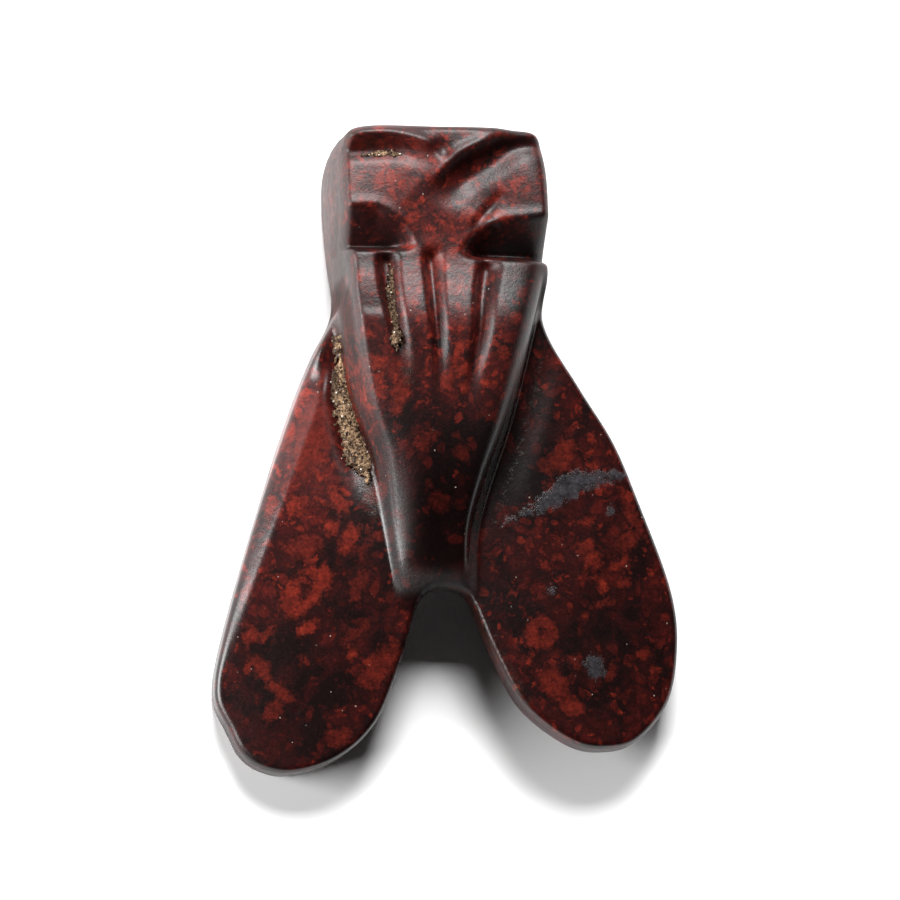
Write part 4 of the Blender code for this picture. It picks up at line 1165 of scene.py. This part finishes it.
def shaded(tree, source, fine, colour):
    """A colour made redder and lighter where its mark paints light, darker where it paints shade, and uneven
    by the fine noise.
    """
    # Painted light where the mark is above 0 and painted shade where it is below: it scales the colour
    shade = maths(tree, "MULTIPLY_ADD", source["Warmth"], SHADE_FROM_WARMTH_LIGHT_AND_SHADE, 1.0)
    shade = maths(tree, "MINIMUM", shade, MOST_SHADE)
    shade = maths(tree, "MULTIPLY", shade, maths(tree, "MULTIPLY_ADD", fine, *SHADE_CONTRAST))
    return scaled_colour(tree, colour, shade)


def with_glints_and_dirt(tree, source, place, colour):
    """Pale specks, partly the stone's own grains and partly painted glints, and the soil's stains laid over
    a colour, and how far the stains cover.
    """
    speck_and_glint, tone = dots(tree, warped(tree, place, *SPECK_AND_GLINT_WARP), *SPECKS_AND_GLINTS)
    # The pale specks paint glints as well as the stone's own pale grains
    colour = mixed(tree, maths(tree, "MULTIPLY", speck_and_glint, tone), colour, SPECK_AND_GLINT_COLOUR)
    edge = noise_of(tree, place, *STAIN_EDGE)
    stain = maths(tree, "MULTIPLY_ADD", edge, STAIN_PUSH, source["Stain Depth"])
    stain = stepped(tree, stain, *STAIN_BODY)
    grit = stepped(tree, noise_of(tree, place, *GRIT), *GRIT_BODY)
    dust = scaled_colour(tree, source["Soil"], maths(tree, "MULTIPLY_ADD", grit, *GRIT_CONTRAST))
    return mixed(tree, maths(tree, "MULTIPLY", stain, STAIN_COVER), colour, dust), stain


def mottle_group(finish):
    """Colour, roughness and relief of the mottled stone."""
    colours = (
        ("Matrix", finish.matrix), ("Maroon", finish.maroon), ("Red", finish.red),
        ("Bright", finish.bright), ("Vein", finish.vein), ("Soil", finish.soil),
    )
    inputs = [("Place", "NodeSocketVector", (0.0, 0.0, 0.0))]
    inputs += [(name, "NodeSocketColor", tuple(value)) for name, value in colours]
    inputs.append(("Roughness", "NodeSocketFloat", finish.roughness))
    inputs += [(name, "NodeSocketFloat", -1.0) for name in MARKS]
    outputs = [("Colour", "NodeSocketColor")]
    outputs += [(name, "NodeSocketFloat") for name in ("Roughness", "Height")]
    tree, given, result = group_of("mottled_stone", inputs, outputs)
    source = given.outputs
    place = source["Place"]
    bent = place
    for scale, push in WARPS:
        bent = warped(tree, bent, scale, push)
    fine = noise_of(tree, place, *FINE_NOISE)

    colour = ground_colour(tree, source, bent, fine)
    colour = with_fragments(tree, source, place, colour)
    colour, grey = with_vein(tree, source, place, colour)
    colour = shaded(tree, source, fine, colour)
    colour, stain = with_glints_and_dirt(tree, source, place, colour)
    tree.links.new(colour, result.inputs["Colour"])

    gloss = maths(tree, "SUBTRACT", source["Roughness"], FINE_ROUGHNESS / 2)
    added = (
        (fine, FINE_ROUGHNESS), (source["Wear"], WEAR_ROUGHNESS), (grey, VEIN_ROUGHNESS),
        (stain, STAIN_ROUGHNESS),
    )
    for value, roughness in added:
        gloss = maths(tree, "MULTIPLY_ADD", value, roughness, gloss)
    tree.links.new(gloss, result.inputs["Roughness"])
    grain = maths(tree, "MULTIPLY_ADD", stain, STAIN_GRAIN, LEAST_GRAIN)
    grain = maths(tree, "MULTIPLY_ADD", source["Wear"], WEAR_GRAIN, grain)
    grain = maths(tree, "MULTIPLY", fine, grain)
    tree.links.new(maths(tree, "MULTIPLY_ADD", grey, VEIN_HEIGHT, grain), result.inputs["Height"])
    return tree


def attribute_value(tree, name):
    """The value of a point attribute of the piece."""
    return add_node(tree, "ShaderNodeAttribute", attribute_name=name).outputs["Fac"]


def new_material(name, roughness, specular):
    """A material with its node tree and its shader."""
    material = bpy.data.materials.new(name)
    material.use_nodes = True
    shader = material.node_tree.nodes["Principled BSDF"]
    shader.inputs["Roughness"].default_value = roughness
    shader.inputs["Specular IOR Level"].default_value = specular
    return material, material.node_tree, shader


def add_bump(tree, shader, height, distance):
    """Fine relief of a material's surface."""
    bump = add_node(tree, "ShaderNodeBump", {"Height": height, "Distance": distance})
    tree.links.new(bump.outputs[0], shader.inputs["Normal"])


def stone_material(finish):
    """Polished mottled red stone."""
    material, tree, shader = new_material("mottled_red_stone", finish.roughness, STONE_SPECULAR)
    values = {name: attribute_value(tree, name.lower().replace(" ", "_")) for name in MARKS}
    values["Place"] = object_millimetres(tree)
    mottle = add_node(tree, "ShaderNodeGroup", node_tree=mottle_group(finish))
    for name, value in values.items():
        tree.links.new(value, mottle.inputs[name])
    tree.links.new(mottle.outputs["Colour"], shader.inputs["Base Color"])
    tree.links.new(mottle.outputs["Roughness"], shader.inputs["Roughness"])
    add_bump(tree, shader, mottle.outputs["Height"], STONE_BUMP)
    return material


def soil_material(finish):
    """Dry brown soil with paler grains."""
    material, tree, shader = new_material("dry_soil", SOIL_ROUGHNESS, SOIL_SPECULAR)
    place = object_millimetres(tree)
    crumbs = noise_of(tree, place, *CRUMB_NOISE)
    clumps = maths(tree, "MULTIPLY_ADD", noise_of(tree, place, *CLUMP_NOISE), CLUMP_SHARE, crumbs)
    pale = maths(tree, "MULTIPLY", stepped(tree, clumps, *PALE_CLUMPS), attribute_value(tree, "paleness"))
    colour = mixed(tree, pale, finish.soil, finish.pale_soil)
    uneven = maths(tree, "MULTIPLY_ADD", noise_of(tree, place, SOIL_FINE_SCALE), *SOIL_CONTRAST)
    tree.links.new(scaled_colour(tree, colour, uneven), shader.inputs["Base Color"])
    add_bump(tree, shader, noise_of(tree, place, *SOIL_BUMP_NOISE), SOIL_BUMP)
    return material


def grain_material(finish):
    """Sand grains, from brown to nearly clear and white."""
    material, tree, shader = new_material("sand_grain", GRAIN_ROUGHNESS, GRAIN_SPECULAR)
    tone = attribute_value(tree, "grain_tone")
    colour = mixed(tree, stepped(tree, tone, *PALE_GRAINS), finish.soil, finish.pale_soil)
    colour = mixed(tree, stepped(tree, tone, *WHITE_GRAINS), colour, WHITE_GRAIN)
    tree.links.new(colour, shader.inputs["Base Color"])
    return material


def grain_nodes(grain, material):
    """Geometry nodes that strew grains over the soil that shows."""
    tree = bpy.data.node_groups.new("strewn_grains", "GeometryNodeTree")
    sockets = (
        ("Geometry", "NodeSocketGeometry", None), ("Density", "NodeSocketFloat", 70.0),
        ("Least", "NodeSocketFloat", 0.4), ("Most", "NodeSocketFloat", 1.3), ("Seed", "NodeSocketInt", 4),
    )
    for name, kind, value in sockets:
        made = tree.interface.new_socket(name, in_out="INPUT", socket_type=kind)
        if value is not None:
            made.default_value = value
    tree.interface.new_socket("Geometry", in_out="OUTPUT", socket_type="NodeSocketGeometry")
    given, result = tree.nodes.new("NodeGroupInput"), tree.nodes.new("NodeGroupOutput")
    source = given.outputs
    shows = add_node(tree, "GeometryNodeInputNamedAttribute", {"Name": "shows"}, data_type="FLOAT")
    density = maths(tree, "MULTIPLY", shows.outputs["Attribute"], source["Density"])
    density = maths(tree, "MULTIPLY", density, PER_SQUARE_MILLIMETRE)
    strewn = add_node(
        tree, "GeometryNodeDistributePointsOnFaces",
        {"Mesh": source["Geometry"], "Density": density, "Seed": source["Seed"]},
    )
    size = add_node(
        tree, "FunctionNodeRandomValue", {2: source["Least"], 3: source["Most"], "Seed": source["Seed"]}
    )
    turns = {0: (0.0, 0.0, 0.0), 1: (FULL_TURN, FULL_TURN, FULL_TURN)}
    turn = add_node(tree, "FunctionNodeRandomValue", turns, data_type="FLOAT_VECTOR")
    shape = add_node(tree, "GeometryNodeObjectInfo", {"Object": grain})
    placed = add_node(tree, "GeometryNodeInstanceOnPoints", {
        "Points": strewn.outputs["Points"], "Instance": shape.outputs["Geometry"],
        "Rotation": turn.outputs[0], "Scale": size.outputs[1],
    })
    tone = add_node(tree, "FunctionNodeRandomValue", {2: 0.0, 3: 1.0, "Seed": 9})
    named = add_node(
        tree, "GeometryNodeStoreNamedAttribute",
        {"Geometry": placed.outputs[0], "Name": "grain_tone", "Value": tone.outputs[1]},
        data_type="FLOAT", domain="INSTANCE",
    )
    real = add_node(tree, "GeometryNodeRealizeInstances", {"Geometry": named.outputs[0]})
    done = add_node(tree, "GeometryNodeSetMaterial", {"Geometry": real.outputs[0], "Material": material})
    tree.links.new(done.outputs[0], result.inputs[0])
    return tree


def length_property(name, description, default, least, precision=5):
    """A length that a user can change."""
    return bpy.props.FloatProperty(
        name=name, description=description, default=default, min=least, unit="LENGTH", precision=precision,
    )


def colour_property(name, description, colour):
    """A colour that a user can change."""
    return bpy.props.FloatVectorProperty(
        name=name, description=description, default=(*colour, 1.0), size=4, subtype="COLOR",
        min=0.0, max=1.0,
    )


class FlyForm(bpy.types.PropertyGroup):
    """Sizes of the carved stone."""

    length: length_property(
        "Length", "From the top of the head to the wing tips", NODE_HIGH[1] - NODE_LOW[1], 0.001,
    )
    span: length_property("Span", "Across both wings", NODE_HIGH[0] - NODE_LOW[0], 0.001)
    height: length_property(
        "Body height", "From the underside to the top of the body, under the brows",
        (NODE_HIGH[2] - NODE_LOW[2]) * BODY_SHARE, 0.001,
    )
    flute_depth: length_property("Flute depth", "Depth of the three flutes of the thorax", 0.5 * MM, 0.0)
    recess_depth: length_property("Recess depth", "Depth of the recesses under the eyes", 1.35 * MM, 0.0)
    detail: length_property(
        "Detail", "Distance between the points of the carved side", 0.078 * MM, 0.00004,
    )
    wall_rows: bpy.props.IntProperty(
        name="Wall rows", description="Rows of points down the wall", default=12, min=1,
    )


class FlyFinish(bpy.types.PropertyGroup):
    """Colours of the stone."""

    matrix: colour_property("Matrix", "The near-black ground of the stone", (0.0050, 0.0007, 0.0007))
    maroon: colour_property("Maroon", "The dark red clouds of the stone", (0.021, 0.0019, 0.0016))
    red: colour_property("Red", "The small red fragments", (0.058, 0.0046, 0.0028))
    bright: colour_property("Bright red", "The brightest red fragments", (0.140, 0.0120, 0.0055))
    vein: colour_property("Vein", "The grey vein across the right wing", (0.026, 0.025, 0.029))
    soil: colour_property("Soil", "The brown soil", (0.024, 0.0095, 0.0036))
    pale_soil: colour_property("Pale soil", "The paler soil and its grains", (0.40, 0.255, 0.145))
    roughness: bpy.props.FloatProperty(
        name="Roughness", description="Roughness of the polish", default=0.29, min=0.0, max=1.0,
    )


class FlySoil(bpy.types.PropertyGroup):
    """The soil's grains."""

    density: bpy.props.FloatProperty(
        name="Density", description="Grains on each square millimetre of soil", default=70.0, min=0.0,
    )
    grain: length_property("Grain", "Radius of a middling grain", 0.038 * MM, 0.00001, precision=6)
    seed: bpy.props.IntProperty(name="Seed", description="Seed of the strewn grains", default=4, min=0)


class FlyStage(bpy.types.PropertyGroup):
    """Floor, light and camera."""

    floor: colour_property("Floor", "Colour of the floor", (0.9, 0.9, 0.9))
    key_power: bpy.props.FloatProperty(
        name="Key light", description="Watts of the light above and beyond the head", default=2.6, min=0.0,
    )
    card_power: bpy.props.FloatProperty(
        name="Left card", description="Watts of the low light at the left", default=3.8, min=0.0,
    )
    sky: bpy.props.FloatProperty(
        name="Surround", description="Strength of the pale surround", default=0.03, min=0.0,
    )
    distance: bpy.props.FloatProperty(
        name="Camera distance", description="From the camera to the stone",
        default=0.26, min=0.05, unit="LENGTH",
    )
    lean: bpy.props.FloatVectorProperty(
        name="Camera lean", description="Lean of the view to the left and to the wing tips",
        default=(math.radians(8.0), math.radians(9.0)), size=2, subtype="EULER",
    )


class FLY_OT_carve_stone(bpy.types.Operator):
    """Carve the fly from one stone"""

    bl_idname = "fly.carve_stone"
    bl_label = "Carve the Stone"

    def execute(self, context):
        scene = context.scene
        carving = Carving(scene.fly_form)
        points, faces, marks = stone_surface(carving)
        stone = new_piece("carved_stone", points - carving.middle(), faces)
        for name, values in marks.items():
            add_marks(stone, name, values)
        stone.data.materials.append(stone_material(scene.fly_finish))
        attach(stone, BODY)
        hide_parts(NODE)
        return {"FINISHED"}


class FLY_OT_lay_soil(bpy.types.Operator):
    """Lay the soil in the channels, the flute and the groove of the brow"""

    bl_idname = "fly.lay_soil"
    bl_label = "Lay the Soil"

    def execute(self, context):
        scene = context.scene
        carving = Carving(scene.fly_form)
        ring = smooth_line(carving.metres(OUTLINE), 4 * scene.fly_form.detail, closed=True)
        points, faces, shows, pale = [], [], [], []
        for *bed, paleness in SOIL_BEDS:
            bed_points, bed_faces, bed_shows, middle = soil_bed(carving, ring, *bed)
            start = sum(len(part) for part in points)
            faces += [tuple(start + index for index in face) for face in bed_faces]
            points.append(bed_points)
            shows.append(bed_shows)
            pale.append(paleness * middle)
        soil = new_piece("soil_fill", np.vstack(points) - carving.middle(), faces)
        for name, values in (("shows", shows), ("paleness", pale)):
            add_marks(soil, name, np.concatenate(values))
        soil.data.materials.append(soil_material(scene.fly_finish))
        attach(soil, BODY)
        return {"FINISHED"}


class FLY_OT_strew_grains(bpy.types.Operator):
    """Strew sand grains over the soil"""

    bl_idname = "fly.strew_grains"
    bl_label = "Strew the Grains"

    def execute(self, context):
        scene = context.scene
        soil = scene.objects.get("soil_fill")
        if soil is None:
            raise RuntimeError("lay the soil before its grains")
        settings = scene.fly_soil
        grain = grain_shape(settings.grain)
        tree = grain_nodes(grain, grain_material(scene.fly_finish))
        strewn = bpy.data.objects.new("strewn", soil.data)
        scene.collection.objects.link(strewn)
        modifier = strewn.modifiers.new("grains", "NODES")
        modifier.node_group = tree
        keys = {item.name: item.identifier for item in tree.interface.items_tree if item.in_out == "INPUT"}
        modifier[keys["Density"]] = settings.density
        modifier[keys["Seed"]] = settings.seed
        context.view_layer.update()
        graph = context.evaluated_depsgraph_get()
        shown = strewn.evaluated_get(graph)
        mesh = bpy.data.meshes.new_from_object(shown, preserve_all_data_layers=True, depsgraph=graph)
        if not mesh.vertices:
            raise RuntimeError("no grain was strewn")
        mesh.name = "sand_grains"
        bpy.data.objects.remove(strewn)
        bpy.data.objects.remove(grain)
        grains = bpy.data.objects.new("sand_grains", mesh)
        scene.collection.objects.link(grains)
        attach(grains, BODY)
        return {"FINISHED"}


def grain_shape(radius):
    """A small angular grain."""
    mesh = bpy.data.meshes.new("grain")
    form = bmesh.new()
    bmesh.ops.create_icosphere(form, subdivisions=1, radius=radius)
    for corner in form.verts:
        corner.co *= 1.0 + GRAIN_UNEVENNESS * noise.noise(corner.co / radius * GRAIN_BUMPS)
        corner.co.z *= GRAIN_FLATNESS
    form.to_mesh(mesh)
    form.free()
    grain = bpy.data.objects.new("grain", mesh)
    bpy.context.scene.collection.objects.link(grain)
    return grain


class FLY_OT_set_stage(bpy.types.Operator):
    """Lay the pale floor and set the light and the camera"""

    bl_idname = "fly.set_stage"
    bl_label = "Set the Stage"

    def execute(self, context):
        scene = context.scene
        stage = scene.fly_stage
        lay_floor(stage)
        hang_light("soft_key", stage.key_power, *KEY_LIGHT)
        hang_light("left_card", stage.card_power, *LEFT_CARD)
        light_surround(scene, stage)
        place_camera(scene, stage)
        return {"FINISHED"}


def lay_floor(stage):
    """A wide pale floor."""
    corners = [(x * FLOOR_HALF, y * FLOOR_HALF, 0.0) for x, y in ((-1, -1), (1, -1), (1, 1), (-1, 1))]
    floor = new_piece("floor", corners, [(0, 1, 2, 3)])
    material, _, shader = new_material("pale_floor", FLOOR_ROUGHNESS, FLOOR_SPECULAR)
    shader.inputs["Base Color"].default_value = stage.floor
    floor.data.materials.append(material)


def aimed(obj, place, target):
    """Stands an object at a place with its -Z towards a target."""
    turn = (Vector(target) - Vector(place)).to_track_quat("-Z", "Y")
    obj.matrix_world = Matrix.Translation(place) @ turn.to_matrix().to_4x4()


def hang_light(name, power, size, place):
    """A square soft light aimed at the stone."""
    light = bpy.data.lights.new(name, "AREA")
    light.shape = "SQUARE"
    light.size = size
    light.energy = power
    lamp = bpy.data.objects.new(name, light)
    bpy.context.scene.collection.objects.link(lamp)
    aimed(lamp, place, (0.0, 0.0, 0.0))


def light_surround(scene, stage):
    """An even pale surround."""
    world = bpy.data.worlds.new("pale_surround")
    world.use_nodes = True
    back = world.node_tree.nodes["Background"]
    back.inputs["Color"].default_value = (1.0, 1.0, 1.0, 1.0)
    back.inputs["Strength"].default_value = stage.sky
    scene.world = world


def place_camera(scene, stage):
    """Camera above the stone, leaning a little to its left and to its wing tips."""
    target = Vector(CAMERA_TARGET)
    lean_left, lean_down = stage.lean
    back = Vector((-math.tan(lean_left), -math.tan(lean_down), 1.0)).normalized()
    camera = bpy.data.cameras.new("view_camera")
    camera.sensor_width = SENSOR_WIDTH
    camera.lens = LENS
    camera.clip_start = 0.01
    camera.clip_end = 10.0
    viewer = bpy.data.objects.new("view_camera", camera)
    scene.collection.objects.link(viewer)
    right = Vector((0.0, 1.0, 0.0)).cross(back).normalized()
    turn = Matrix((right, back.cross(right), back)).transposed().to_4x4()
    viewer.matrix_world = Matrix.Translation(target + back * stage.distance) @ turn
    scene.camera = viewer


class FLY_PT_panel(bpy.types.Panel):
    """Lists the steps of the fly amulet"""

    bl_idname = "FLY_PT_panel"
    bl_label = "Fly Amulet"
    bl_space_type = "VIEW_3D"
    bl_region_type = "UI"
    bl_category = "Fly Amulet"

    def draw(self, context):
        layout = self.layout
        scene = context.scene
        for group in (scene.fly_form, scene.fly_finish, scene.fly_soil, scene.fly_stage):
            box = layout.box()
            for name in group.__annotations__:
                box.prop(group, name)
        for operator in (FLY_OT_carve_stone, FLY_OT_lay_soil, FLY_OT_strew_grains, FLY_OT_set_stage):
            layout.operator(operator.bl_idname)


CLASSES = (
    FlyForm, FlyFinish, FlySoil, FlyStage, FLY_OT_carve_stone, FLY_OT_lay_soil, FLY_OT_strew_grains,
    FLY_OT_set_stage, FLY_PT_panel,
)


def register():
    for item in CLASSES:
        bpy.utils.register_class(item)
    bpy.types.Scene.fly_form = bpy.props.PointerProperty(type=FlyForm)
    bpy.types.Scene.fly_finish = bpy.props.PointerProperty(type=FlyFinish)
    bpy.types.Scene.fly_soil = bpy.props.PointerProperty(type=FlySoil)
    bpy.types.Scene.fly_stage = bpy.props.PointerProperty(type=FlyStage)


def unregister():
    del bpy.types.Scene.fly_stage
    del bpy.types.Scene.fly_soil
    del bpy.types.Scene.fly_finish
    del bpy.types.Scene.fly_form
    for item in reversed(CLASSES):
        bpy.utils.unregister_class(item)


def main():
    register()
    bpy.ops.fly.carve_stone()
    bpy.ops.fly.lay_soil()
    bpy.ops.fly.strew_grains()
    bpy.ops.fly.set_stage()
    bpy.context.scene.view_settings.view_transform = "Standard"


if __name__ == "__main__":
    main()
